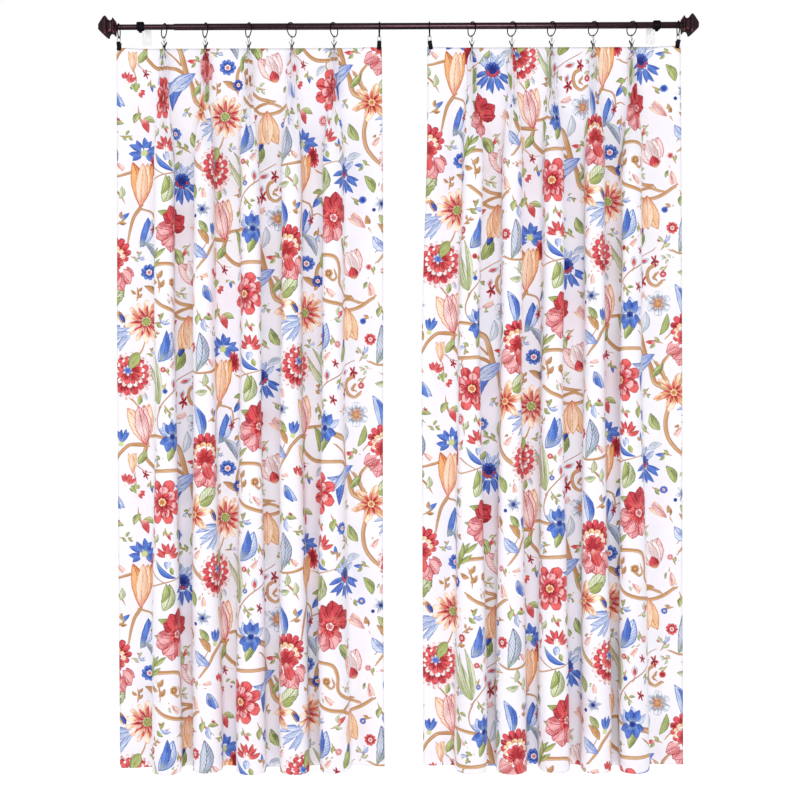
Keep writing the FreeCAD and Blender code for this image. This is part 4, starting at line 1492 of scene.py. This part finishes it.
    def fan(self, base: Spot, angle: float, reach: float, sweep: float,
            count: int, dye: Dye, wide: float = 16) -> Stamps:
        """Petals that open from one point, as a half flower or a plume."""
        petals = ring_of(*base, 0.0, reach, count, wide, dye, angle - sweep / 2, sweep, 0.5, 1.1)
        return petals + [bloom(*base, wide * 0.5, dye, 5, 0.1, 0.9)]

    def lily(self, base: Spot, tip: Spot, wide: float) -> Stamps:
        """White trumpet with pink edges and a red throat."""
        stamps = self.tulip(base, tip, wide, Dye.BLUSH, Dye.WHITE)
        middle = (base[0] * 0.55 + tip[0] * 0.45, base[1] * 0.55 + tip[1] * 0.45)
        return stamps + [leaf(base, middle, wide * 0.34, Dye.CRIMSON, 0.6, 0.8)]

    def star(self, x: float, y: float, radius: float, dye: Dye, petals: int = 6,
             turn: float = 0.0) -> Stamps:
        """Small pointed flower."""
        core = Dye.LEAFY if dye in (Dye.COBALT, Dye.SKY) else Dye.HONEY
        return [bloom(x, y, radius, dye, petals, -0.62, 0.0, angle=turn),
                bloom(x, y, radius * 0.26, core, 6, 0.1, 0.5)]

    def button_flower(self, x: float, y: float, radius: float, dye: Dye, heart: Dye) -> Stamps:
        """Small round flower with a pale eye."""
        return [bloom(x, y, radius, dye, 9, 0.22, 0.0), bloom(x, y, radius * 0.38, heart, 6, 0.1, 0.42)]

    def feather(self, base: Spot, tip: Spot, wide: float, dye: Dye,
                bend: float = 0.1) -> Stamps:
        """Leaf of overlapping blades."""
        run, fall = tip[0] - base[0], tip[1] - base[1]
        blades = []
        for i in range(4):
            start = (base[0] + run * 0.2 * i, base[1] + fall * 0.2 * i)
            side = (-fall * 0.22, run * 0.22) if i % 2 else (fall * 0.22, -run * 0.22)
            end = (start[0] + run * 0.5 + side[0], start[1] + fall * 0.5 + side[1])
            blades.append(leaf(start, end, wide * 0.42, dye, 0.7, 0.9, 0.0, bool(i % 2)))
        return [leaf(base, tip, wide * 0.62, dye, 0.8, 0.9, bend)] + blades

    def large_flowers(self) -> Stamps:
        """The flowers that carry the pattern."""
        return [
            *self.scalloped_flower(),
            *self.daisy(50, -157, 64),
            *self.carnation(398, 252),
            *self.rose(148, 374, 68),
            *self.blue_crown(178, 180),
            *self.tulip((48, 212), (26, 92), 92),
            *self.tulip((281, -176), (284, -72), 84, Dye.HONEY, Dye.PEACH),
            *self.star_lily(-88, -172, 56),
            *self.lily((-140, 350), (-166, 268), 92),
            *self.wild_rose(-246, 176),
            *self.tulip((478, 90), (486, -46), 84, Dye.AMBER, Dye.PEACH),
            *self.drooping_daisy(-186, 34),
        ]

    def small_flowers(self) -> Stamps:
        """The flowers between them."""
        return [
            *self.pale_flower(312, 146),
            *self.fan((490, -74), -90, 46, 250, 9, Dye.COBALT, 19),
            *self.fan((618, -72), -92, 44, 150, 7, Dye.SCARLET, 15),
            *self.button_flower(503, 280, 25, Dye.COBALT, Dye.WHITE),
            *self.button_flower(536, 332, 18, Dye.NAVY, Dye.WHITE),
            *self.button_flower(354, -77, 18, Dye.SCARLET, Dye.WHITE),
            bloom(524, -36, 34, Dye.CRIMSON, 11, 0.34, 0.0, 0.5, 82),
            *self.sprite(46, 298, 17, 70),
            *self.sprite(213, -4, 17, 60),
            *self.sprite(303, 20, 22, 80),
            *self.sprite(266, 82, 24, 100),
            *self.sprite(206, 102, 19, 70),
            *self.sprite(516, 152, 16, 110),
            *self.star(-60, 128, 26, Dye.MIST, 6, 20),
            bloom(-60, 128, 7, Dye.NAVY, 5, 0.1, 0.0), bloom(-84, 146, 6, Dye.NAVY, 5, 0.1, 0.0),
            *self.fan((-10, 326), -74, 34, 84, 5, Dye.SCARLET, 13),
            *self.seed_bud((188, 46), (188, 12), 20),
            *self.seed_bud((256, 26), (288, 14), 18),
            *self.seed_bud((258, 72), (266, 46), 15),
            *self.fan((-24, 206), -80, 44, 50, 4, Dye.COBALT, 15),
            *self.tulip((10, 296), (8, 232), 34, Dye.HONEY, Dye.PEACH),
            *self.fan((18, 346), -112, 22, 90, 4, Dye.LEAFY, 14),
            *self.fan((26, 350), 30, 20, 70, 3, Dye.SCARLET, 11),
            bloom(635, 316, 14, Dye.TAN, 7, 0.2, 0.3),
        ]

    def leaves(self) -> Stamps:
        """The leaves."""
        stamps = ring_of(142, 94, 4, 152, 5, 20, Dye.SAGE, -132, 34, 0.8, 0.9)
        stamps += ring_of(12, -142, 2, 92, 6, 20, Dye.SKY, 118, 60, 0.7, 1.0)
        for row in LEAVES.split(";"):
            *place, wide, dye, veins = row.split()[:7]
            x, y, tip_x, tip_y = map(float, place)
            form = map(float, row.split()[7:])
            stamps.append(leaf((x, y), (tip_x, tip_y), float(wide), Dye[dye], float(veins), *form))
        return stamps + self.feather((548, 296), (590, 214), 34, Dye.OLIVE, -0.1)

    def vines(self) -> list[Vine]:
        """The stems, the widest last."""
        stems = []
        for row in STEMS.split(";"):
            wide, bark, taper, *points = row.split()
            line = tuple(tuple(map(float, point.split(","))) for point in points)
            stems.append(Vine(line, float(wide), bark, float(taper)))
        return stems

    def sprig(self, number: int, spot: Array, room: float, turn: float) -> Stamps:
        """A small filling sprig.

        Args:
            number: Chooses its kind and its colours.
            spot: Its middle.
            room: Free space round it, in millimetres.
            turn: The way it points, in radians.

        Returns:
            Its stamps.
        """
        way = np.array([cos(turn), sin(turn)])
        side = np.array([-way[1], way[0]])
        room = min(room * 1.12, 46.0)
        foot, tip = spot - way * room * 0.92, spot + way * room * 0.9
        green = (Dye.LEAFY, Dye.OLIVE, Dye.SAGE, Dye.TAN)[number % 4]
        stalk = [leaf(foot, tip, 6.5, Dye.TAN, 1.0, 0.9, 0.10)]
        leaves = []
        for share, hand in ((0.28, 1), (0.5, -1), (0.7, 1)):
            start = foot + (tip - foot) * share
            end = start + (way * 0.55 + side * hand * 0.7) * room * 0.95
            leaves.append(leaf(start, end, room * 0.42, green, 0.8, 0.9, 0.12 * hand))
        kind = number % 5
        if kind == 0:
            bud = (Dye.SCARLET, Dye.COBALT)[number // 5 % 2]
            return stalk + leaves[:2] + [leaf(spot, tip + way * 4, room * 0.5, bud, 0.6, 0.7)]
        if kind == 1:
            dye = (Dye.COBALT, Dye.ROSE, Dye.SCARLET)[number // 5 % 3]
            head = self.button_flower(*(spot + way * room * 0.4), room * 0.42, dye, Dye.WHITE)
            return stalk + leaves[:1] + head
        if kind == 2:
            return stalk + leaves
        if kind == 3:
            bell = self.tulip(spot - way * room * 0.4, tip, room * 0.8, Dye.PEACH, Dye.BLUSH)
            return stalk + leaves[:1] + bell
        blue = leaf(spot, tip + side * room * 0.4, room * 0.42, Dye.SKY, 0.7, 1.0, 0.1)
        return stalk + leaves[:2] + [blue] + self.sprite(*(spot - side * room * 0.5), room * 0.24, 40)

    def fill_gaps(self, stamps: Stamps, steps: tuple, least: float = 17.0) -> Stamps:
        """Sprigs for the widest open places between the motifs.

        Args:
            stamps: The motifs so far.
            steps: The repeat's two steps.
            least: Gaps of a smaller radius than this stay open.

        Returns:
            The sprigs.
        """
        spots, radii = [], []
        for stamp in stamps:
            way = np.array([cos(radians(stamp.angle)), sin(radians(stamp.angle))])
            is_leaf = stamp.petals < 1.5
            for share in (0.15, 0.5, 0.85) if is_leaf else (0.0,):
                spots.append(np.array([stamp.x, stamp.y]) + way * stamp.reach * share)
                radii.append(stamp.wide if is_leaf else (stamp.reach + stamp.wide) / 2)
        for vine in self.vines():
            line = smooth_line(np.array(vine.points, float), 5)
            spots += list(line)
            radii += [vine.wide / 2] * len(line)
        across, down = np.array(steps[0]), np.array(steps[1])
        shifts = np.array([i * across + j * down for i in (-1, 0, 1) for j in (-1, 0, 1)])
        shares = np.stack(np.meshgrid(np.arange(72) / 72, np.arange(48) / 48), axis=-1).reshape(-1, 2)
        cells = shares @ np.stack([across, down])
        random = np.random.default_rng(23)
        free = np.full(len(cells), 1e3)

        def take(spot: Array, radius: float) -> None:
            """Take a place, and its repeats, out of the free space."""
            for shift in shifts:
                away = np.linalg.norm(cells - spot - shift, axis=1) - radius
                np.minimum(free, away, out=free)

        origin = np.array([-180.0, -220.0])
        for spot, radius in zip(spots, radii):
            offset = np.linalg.solve(np.stack([across, down]).T, spot - origin)
            take(spot - origin - np.floor(offset) @ np.stack([across, down]), radius)
        sprigs = []
        for number in range(110):
            best = int(free.argmax())
            room = float(free[best])
            if room < least:
                break
            turn = random.uniform(-pi, pi)
            sprigs += self.sprig(number, cells[best] + origin, room, turn)
            take(cells[best], room * 0.92)
        return sprigs

    def stamps(self, steps: tuple) -> Stamps:
        """Every motif of one repeat, the top ones last."""
        drawn = self.leaves() + self.small_flowers() + self.large_flowers()
        return self.fill_gaps(drawn, steps) + drawn


@dataclass
class PrintPlan:
    """Where the repeats lie on a curtain, and how they are stored on its mesh.

    The repeat's two steps and its origin are right and down on the flat
    cloth, in millimetres.
    """

    origin: Spot
    step_across: Spot = (894.0, -24.0)
    step_down: Spot = (445.0, 583.0)
    garden: Garden = field(default_factory=Garden)

    def repeats(self, width: float, height: float) -> list[Spot]:
        """Origins of the repeats that reach a cloth of this size."""
        places = []
        for j in range(-4, 6):
            for i in range(-5, 6):
                x = self.origin[0] + i * self.step_across[0] + j * self.step_down[0]
                y = self.origin[1] + i * self.step_across[1] + j * self.step_down[1]
                if -900 < x < width + 400 and -900 < y < height + 400:
                    places.append((x, y))
        return places

    def paint(self, piece: Piece, grid: SheetGrid) -> None:
        """Store, for each face of a sheet's front, the motifs and stems that cross it.

        Args:
            piece: The sheet.
            grid: Its rows and columns.
        """
        self.across = grid.along * 1000
        self.down = grid.down * 1000
        rows, columns = len(grid.down) - 1, len(grid.along) - 1
        faces = len(piece.data.polygons)
        self.motif_data = {"place": np.zeros((MOTIF_SLOTS, faces, 4, 3), np.float32)}
        for name in ("form", "light", "deep", "heart"):
            self.motif_data[name] = np.zeros((MOTIF_SLOTS, faces, 3), np.float32)
        self.vine_data = {"vine": np.zeros((VINE_SLOTS, faces, 4, 3), np.float32),
                          "bark": np.zeros((VINE_SLOTS, faces, 3), np.float32)}
        column, row = np.meshgrid(np.arange(columns), np.arange(rows))
        self.columns = columns
        self.centre = np.stack([(self.across[column] + self.across[column + 1]) / 2,
                                (self.down[row] + self.down[row + 1]) / 2], axis=-1)
        repeats = self.repeats(self.across[-1], self.down[-1])
        for number, vine in enumerate(self.garden.vines()):
            for place in repeats:
                self.lay_vine(vine, place, number)
        steps = (self.step_across, self.step_down)
        for number, stamp in enumerate(self.garden.stamps(steps)):
            for place in repeats:
                self.lay_stamp(stamp, place, number)
        for name, domain in (("place", "CORNER"), ("form", "FACE"), ("light", "FACE"), ("deep", "FACE"),
                             ("heart", "FACE")):
            for i in range(MOTIF_SLOTS):
                store(piece.data, f"{name}_{i}", domain, self.motif_data[name][i])
        for i in range(VINE_SLOTS):
            store(piece.data, f"vine_{i}", "CORNER", self.vine_data["vine"][i])
            store(piece.data, f"bark_{i}", "FACE", self.vine_data["bark"][i])

    def window(self, low: Array, high: Array) -> tuple[Array, Array]:
        """Rows and columns of the faces inside a box on the cloth.

        Args:
            low: Its corner up and left.
            high: Its corner down and right.

        Returns:
            Row and column numbers, one pair for each face.
        """
        first = np.clip(np.searchsorted(self.across, [low[0], high[0]]) + [-1, 0], 0, len(self.across) - 1)
        second = np.clip(np.searchsorted(self.down, [low[1], high[1]]) + [-1, 0], 0, len(self.down) - 1)
        column, row = np.meshgrid(np.arange(*first), np.arange(*second))
        return row.ravel(), column.ravel()

    def corners(self, row: Array, column: Array) -> Array:
        """The four corners of faces, in the order of the mesh's corners."""
        left, right = self.across[column], self.across[column + 1]
        top, bottom = self.down[row], self.down[row + 1]
        x = np.stack([left, left, right, right], axis=-1)
        y = np.stack([top, bottom, bottom, top], axis=-1)
        return np.stack([x, y], axis=-1)

    def lay_stamp(self, stamp: Stamp, place: Spot, number: int) -> None:
        """Add one copy of a motif to the faces that it crosses.

        Args:
            stamp: The motif.
            place: Origin of its repeat.
            number: Seeds its streaks.
        """
        base = np.array([place[0] + stamp.x, place[1] + stamp.y])
        turn = radians(stamp.angle)
        way = np.array([cos(turn), sin(turn)])
        side = np.array([-way[1], way[0]]) * (-1 if stamp.flip else 1)
        is_leaf = stamp.petals < 1.5
        reach = max(stamp.reach, stamp.wide) * (1.15 if is_leaf else 1.1) + 8
        row, column = self.window(base - reach, base + reach)
        if not len(row):
            return
        corners = self.corners(row, column) - base
        x = corners @ way / stamp.reach
        y = corners @ side / stamp.wide
        if is_leaf:
            y = y - stamp.bend * stamp.reach / stamp.wide * 4 * x * (1 - x) * (-1 if stamp.flip else 1)
            middle = x.mean(axis=1)
            swell = np.sin(np.clip(middle, 0, 1) ** stamp.notch * pi) ** 0.8 * 1.15
            margin = 7 / stamp.wide
            hit = (x.max(axis=1) > 0) & (x.min(axis=1) < 1)
            hit &= np.abs(y).min(axis=1) < swell + margin * (swell < 0.6)
        else:
            hit = np.hypot(x, y).min(axis=1) < 1.16
        if not hit.any():
            return
        face = row[hit] * self.columns + column[hit]
        seed = np.full_like(x[hit], 1.0 + number * 1.37 + (place[0] * 0.013) % 3)
        self.push(self.motif_data, face, {
            "place": np.stack([x[hit], y[hit], seed], axis=-1),
            "form": np.array([stamp.petals, stamp.notch, stamp.heart]),
            "light": np.array(stamp.dye.value[0]),
            "deep": np.array(stamp.dye.value[1]),
            "heart": np.array(stamp.dye.value[2])})

    def lay_vine(self, vine: Vine, place: Spot, number: int) -> None:
        """Add one copy of a stem to the faces that it crosses.

        Args:
            vine: The stem.
            place: Origin of its repeat.
            number: Seeds its bark.
        """
        line = smooth_line(np.array(vine.points, float)) + np.array(place)
        low, high = line.min(axis=0) - vine.wide, line.max(axis=0) + vine.wide
        row, column = self.window(low, high)
        if not len(row):
            return
        middle = self.centre[row, column]
        ends = line[:-1], line[1:]
        run = ends[1] - ends[0]
        length = np.linalg.norm(run, axis=1)
        way = run / length[:, None]
        travelled = np.concatenate([[0.0], np.cumsum(length)])
        offset = middle[:, None, :] - ends[0][None]
        share = np.clip((offset * way).sum(axis=-1), 0, length)
        away = np.linalg.norm(offset - way * share[..., None], axis=-1)
        nearest = away.argmin(axis=1)
        half = vine.wide / 2 * (1 - (1 - vine.taper) * travelled[nearest] / travelled[-1])
        hit = away[np.arange(len(nearest)), nearest] < half + 7.5
        if not hit.any():
            return
        row, column, nearest, half = row[hit], column[hit], nearest[hit], half[hit]
        corners = self.corners(row, column) - ends[0][nearest][:, None, :]
        heading = way[nearest][:, None, :]
        along = (corners * heading).sum(axis=-1) + travelled[nearest][:, None]
        across = corners[..., 0] * -heading[..., 1] + corners[..., 1] * heading[..., 0]
        across = across / half[:, None]
        past = np.maximum(along - travelled[-1], 0) + np.maximum(-along, 0)
        across = np.where(past > 0, np.sign(across) * np.hypot(across, past / half[:, None]), across)
        values = np.stack([along / 1000, across, np.full_like(along, 1.0 + number * 2.1)], axis=-1)
        face = row * self.columns + column
        self.push(self.vine_data, face, {"vine": values, "bark": np.array(BARK[vine.bark])})

    def push(self, data: dict[str, Array], face: Array, values: dict[str, Array]) -> None:
        """Put a motif on top of the ones that its faces hold, and drop the lowest."""
        for name, value in values.items():
            slots = data[name]
            slots[:-1, face] = slots[1:, face]
            slots[-1, face] = value


def smooth_line(points: Array, steps: int = 8) -> Array:
    """A smooth line through a few points.

    Args:
        points: The points.
        steps: Spans between one point and the next.

    Returns:
        The line's points.
    """
    padded = np.vstack([2 * points[0] - points[1], points, 2 * points[-1] - points[-2]])
    line = []
    for before, start, end, after in zip(padded, padded[1:], padded[2:], padded[3:]):
        for i in range(steps):
            t = i / steps
            line.append(0.5 * (2 * start + (end - before) * t
                               + (2 * before - 5 * start + 4 * end - after) * t ** 2
                               + (3 * start - before - 3 * end + after) * t ** 3))
    return np.array(line + [points[-1]])


# --- hardware
@dataclass
class Finial:
    """Square stepped finial on its plug, pointing along +X from the rod's end."""

    neck: float = 0.0095
    plug_length: float = 0.022
    plug_gap: float = 0.00005
    profile: tuple[Spot, ...] = (
        (0.002, 0.0095), (0.006, 0.022), (0.0085, 0.022), (0.0100, 0.0193), (0.0128, 0.0170),
        (0.0165, 0.0160), (0.0205, 0.0172), (0.0245, 0.0212), (0.0275, 0.0265), (0.0315, 0.0265),
        (0.0372, 0.0226), (0.0428, 0.0177), (0.0485, 0.0125), (0.0540, 0.0070))

    def body(self) -> Piece:
        """The square turning, extruded station by station and then rounded."""
        deselect()
        first = self.profile[0][0]
        bpy.ops.mesh.primitive_cube_add(size=1.0, location=(first / 2, 0, 0),
                                        scale=(first, 2 * self.neck, 2 * self.neck))
        piece = settle(current("finial_body"))
        at, half = self.profile[0]
        for place, reach in self.profile[1:]:
            edit_faces(piece, lambda middle, normal: normal.x > 0.9 and middle.x > at - 0.0001)
            bpy.ops.mesh.extrude_region_move(TRANSFORM_OT_translate={"value": (place - at, 0, 0)})
            bpy.ops.transform.resize(value=(1.0, reach / half, reach / half),
                                     center_override=(place, 0, 0))
            leave_edit()
            at, half = place, reach
        modify(piece, "SUBSURF", subdivision_type="SIMPLE", levels=2, render_levels=2)
        bevel(piece, 0.0007, 2, 18)
        return piece

    def build(self, name: str, bore: float, end: float, side: int,
              finish: Material) -> Piece:
        """A finial at one end of the rod.

        Args:
            name: The piece's name.
            bore: Radius of the tube's bore that the plug fits.
            end: X of the rod's end.
            side: 1 to point to the right, -1 to the left.
            finish: Its material.

        Returns:
            The piece.
        """
        body = self.body()
        depth = self.plug_length + 0.001
        along = Vector((depth, 0, 0)).to_track_quat("Z", "Y").to_euler()
        deselect()
        bpy.ops.mesh.primitive_cylinder_add(vertices=40, radius=bore - self.plug_gap, depth=depth,
                                            rotation=along, location=(depth / 2 - self.plug_length, 0, 0))
        plug = settle(current("finial_plug"))
        bevel(plug, 0.0006, 2)
        piece = joined(name, [body, plug])
        turn = Matrix.Rotation(0.0 if side > 0 else pi, 4, "Z")
        piece.data.transform(Matrix.Translation((end, ROD_Y, 0.0)) @ turn)
        mark_wear(piece, 1)
        smooth(piece, 24)
        piece.data.materials.append(finish)
        return piece


@dataclass
class WireRing:
    """Closed wire ring with its butt weld."""

    radius: float = 0.0209
    wire: float = 0.0016

    def build(self, finish: Material) -> Piece:
        """A ring about the X axis, with its weld swollen and dressed at the top."""
        deselect()
        bpy.ops.mesh.primitive_torus_add(major_segments=72, minor_segments=14, major_radius=self.radius,
                                         minor_radius=self.wire, rotation=(0, pi / 2, 0))
        piece = settle(current("wire_ring"))
        for turn, swell in ((58.0, 1.05), (61.0, 1.05)):
            at = Vector((0, cos(radians(turn)), sin(radians(turn)))) * self.radius
            edit_faces(piece, lambda middle, normal: (middle - at).length < self.wire * 1.5)
            bpy.ops.transform.resize(value=(swell, swell, swell), center_override=tuple(at))
            leave_edit()
        smooth(piece, 50)
        piece.data.materials.append(finish)
        return piece


@dataclass
class Hardware:
    """Rod, brackets, screws, finials, rings and clips."""

    finishes: dict[str, Material]
    outer_bore: float = 0.0083
    inner_bore: float = 0.0070
    rod_end: float = 0.835
    arm_end: float = -0.0765
    link_floor: float = -0.0645
    clip_edge: float = 0.00022

    def dressed(self, node: str, name: str, width: float, *looks: HardFinish, angle: float = 40.0) -> Piece:
        """A merged copy of a CAD node with its sharp edges rounded.

        Args:
            node: The CAD node.
            name: The new piece's name.
            width: Of the rounding, in metres.
            looks: Its finishes, in the order of the mesh's material slots.
            angle: Edges sharper than this are rounded, in degrees.

        Returns:
            The piece, riding on the node's body in the node's place.
        """
        source = frame["nodes"][node]
        mesh = source.data.copy()
        mesh.materials.clear()
        piece = bpy.data.objects.new(name, mesh)
        mesh.name = name
        show(piece)
        pick(piece)
        bpy.ops.object.mode_set(mode="EDIT")
        bpy.ops.mesh.select_all(action="SELECT")
        bpy.ops.mesh.remove_doubles(threshold=0.000002)
        bpy.ops.mesh.dissolve_limited(angle_limit=radians(0.6))
        leave_edit()
        bevel(piece, width, 2, angle)
        smooth(piece, 32)
        for look in looks:
            piece.data.materials.append(self.finishes[look.name])
        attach(piece, source["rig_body"])
        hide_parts(node)
        return piece

    def make_rod(self) -> None:
        """Both tubes and both finials."""
        for part in ("outer", "inner"):
            self.dressed(f"rod_{part}_tube", f"{part}_rod", 0.0003, BRONZE)
        finish = self.finishes[BRONZE.name]
        for name, bore, side, body in (("right", self.outer_bore, 1, "mounted_rod"),
                                       ("left", self.inner_bore, -1, "inner_rod")):
            piece = Finial().build(f"{name}_square_finial", bore, side * self.rod_end, side, finish)
            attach(piece, body)
            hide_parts(f"{name}_finial")

    def make_brackets(self, hand: str) -> None:
        """A wall plate, its arm with a dark barrel, and their screws."""
        self.dressed(f"{hand}_bracket_plate", f"{hand}_wall_plate", 0.0008, WHITE)
        arm = self.dressed(f"{hand}_bracket_arm", f"{hand}_rod_holder", 0.0004, BLACK, WHITE)
        for face in arm.data.polygons:
            face.material_index = int(face.center.y > self.arm_end)
        self.dressed(f"{hand}_rod_screw", f"{hand}_thumb_screw", 0.0003, BLACK)
        self.dressed(f"{hand}_arm_screw", f"{hand}_fixing_screw", 0.0003, NICKEL)

    def make_clip(self, hand: str, number: int) -> None:
        """A clip with its black jaws and its bright link, strap, pin and spring."""
        piece = self.dressed(f"{hand}_clip_{number}", f"{hand}_hanging_clip_{number}", self.clip_edge, BLACK,
                             NICKEL, angle=50)
        mesh = bmesh.new()
        mesh.from_mesh(piece.data)
        left = set(mesh.faces)
        while left:
            island, edge = set(), [left.pop()]
            while edge:
                face = edge.pop()
                island.add(face)
                near = {f for side in face.edges for f in side.link_faces} & left
                left -= near
                edge.extend(near)
            lowest = min(corner.co.z for face in island for corner in face.verts)
            for face in island:
                face.material_index = int(lowest > self.link_floor)
        mesh.to_mesh(piece.data)
        mesh.free()
        jaw = f"{hand}_moving_jaw_{number}"
        self.dressed(f"{hand}_clip_jaw_{number}", jaw, self.clip_edge, BLACK, angle=50)

    def make_rings(self, hand: str, yaws: Sequence[float]) -> None:
        """Seven copies of the ring, each turned on the rod as it hangs.

        Args:
            hand: left or right.
            yaws: Turn of each from square to the rod, from the finial inwards, in degrees.
        """
        pattern = WireRing().build(self.finishes[BLACK.name])
        for number, yaw in enumerate(yaws, 1):
            turn = Matrix.Translation(middle_of(f"{hand}_ring_{number}")) @ Matrix.Rotation(
                radians(yaw), 4, "Z")
            ring = placed_copy(pattern, f"{hand}_wire_ring_{number}", turn)
            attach(ring, f"{hand}_ring_{number}")
            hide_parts(f"{hand}_ring_{number}")
        bpy.data.objects.remove(pattern)

    def build(self) -> None:
        """Make all the hardware and report it."""
        self.make_rod()
        LOG.info("rod: two tubes and two finials")
        for hand, yaws in (("left", (3, 33, 29, 31, -34, -29, 4)), ("right", (-3, 31, 34, 28, 33, 30, -4))):
            self.make_brackets(hand)
            self.make_rings(hand, yaws)
            for number in range(1, 8):
                self.make_clip(hand, number)
            LOG.info("%s: bracket, two screws, seven rings and seven clips", hand)


# --- studio
@dataclass
class Studio:
    """Pale floor, soft lights and the camera."""

    camera_distance: float = 3.59
    camera_height: float = -1.108
    focal_length: float = 53.14
    roll: float = 0.22
    floor_gap: float = 0.055
    floor_size: float = 60.0
    air: float = 0.62
    mirrored_air: float = 0.12

    def build(self) -> None:
        """Make the floor, the lights and the camera."""
        self.make_floor()
        self.make_world()
        self.make_light("key_softbox", (0.7, -4.8, -0.7), 2.4, 40)
        self.make_light("rod_striplight", (0.2, -4.8, -1.15), 3.2, 22, 0.4)
        self.make_light("side_softbox", (-3.2, -3.0, 0.2), 2.2, 16)
        self.make_camera()

    def make_floor(self) -> None:
        """A wide pale floor below the hems."""
        low, _ = CAD_BOX
        deselect()
        bpy.ops.mesh.primitive_grid_add(x_subdivisions=8, y_subdivisions=8, size=self.floor_size,
                                        location=(0, 0, low[2] - self.floor_gap))
        floor = settle(current("studio_floor"))
        floor.data.materials.append(FloorFinish().make())

    def make_world(self) -> None:
        """Even white surroundings."""
        world = bpy.data.worlds.new("studio_air")
        world.use_nodes = True
        graph = Graph(world.node_tree)
        rays = graph.node("ShaderNodeLightPath")
        seen, mirrored = graph.out(rays, "Is Camera Ray"), graph.out(rays, "Is Glossy Ray")
        back = world.node_tree.nodes["Background"]
        back.inputs["Color"].default_value = (1.0, 1.0, 1.0, 1.0)
        strength = seen * (1.0 - self.air) - mirrored * (self.air - self.mirrored_air) + self.air
        graph.fill(back.inputs["Strength"], strength)
        bpy.context.scene.world = world
        bpy.context.scene.view_settings.view_transform = "Standard"

    def make_light(self, name: str, place: Point, size: float, power: float, height: float = 0.0) -> None:
        """A soft light that faces the middle of the curtains, square unless it has a height of its own."""
        low, high = CAD_BOX
        aim = (Vector(low) + Vector(high)) / 2
        lamp = bpy.data.lights.new(name, "AREA")
        lamp.size = size
        if height:
            lamp.shape = "RECTANGLE"
            lamp.size_y = height
        lamp.energy = power
        holder = bpy.data.objects.new(name, lamp)
        holder.location = place
        holder.rotation_euler = (aim - Vector(place)).to_track_quat("-Z", "Y").to_euler()
        show(holder)

    def make_camera(self) -> None:
        """A camera square to the curtains, a little above half their height."""
        lens = bpy.data.cameras.new("camera")
        lens.lens = self.focal_length
        lens.sensor_width = 36.0
        camera = bpy.data.objects.new("camera", lens)
        turn = Matrix.Rotation(radians(self.roll), 4, "Y") @ Matrix.Rotation(pi / 2, 4, "X")
        camera.matrix_world = Matrix.Translation((0, -self.camera_distance, self.camera_height)) @ turn
        show(camera)
        bpy.context.scene.camera = camera


BRONZE = HardFinish("oil_rubbed_bronze", ink(100, 72, 82), ink(122, 92, 102), ink(172, 74, 60), "bronze",
                    0.25, 0.92, 0.8, 260.0, 0.00001, 0.8)
BLACK = HardFinish("black_enamel", ink(9, 8, 16), ink(17, 15, 26), ink(48, 44, 60), "black_enamel",
                   0.45, 0.0, 0.35, 500.0, 0.00002, 0.16)
NICKEL = HardFinish("bright_nickel", ink(206, 206, 212), ink(226, 226, 230), ink(240, 240, 242),
                    "bare_steel", 0.24, 1.0, 0.3, 700.0, 0.00001)
WHITE = HardFinish("matt_white_paint", ink(255, 255, 255), ink(251, 251, 253), ink(246, 246, 248),
                   "white_paint", 0.7, 0.0, 0.0, 300.0, 0.00001)
PRINTED = PrintedFinish("printed_cloth", ink(244, 241, 248), ink(230, 227, 238), "printed_cloth")
LINING = ClothFinish("lining_cloth", ink(246, 244, 240), ink(234, 231, 226), "lining_cloth")
STIFFENER = ClothFinish("buckram", ink(247, 246, 240), ink(228, 226, 214), "buckram", 0.0014, 0.00025, 0.85)


def main() -> None:
    """Build the curtains and everything that holds them."""
    effects = Effects()
    finishes = {f.name: f.make(effects) for f in (BRONZE, BLACK, NICKEL, WHITE, PRINTED, LINING, STIFFENER)}
    Curtain(Hand.LEFT).build(finishes, PrintPlan((35.0, 967.0)))
    Curtain(Hand.RIGHT).build(finishes, PrintPlan((45.0, 640.0)))
    Hardware(finishes).build()
    Studio().build()


if __name__ == "__main__":
    main()
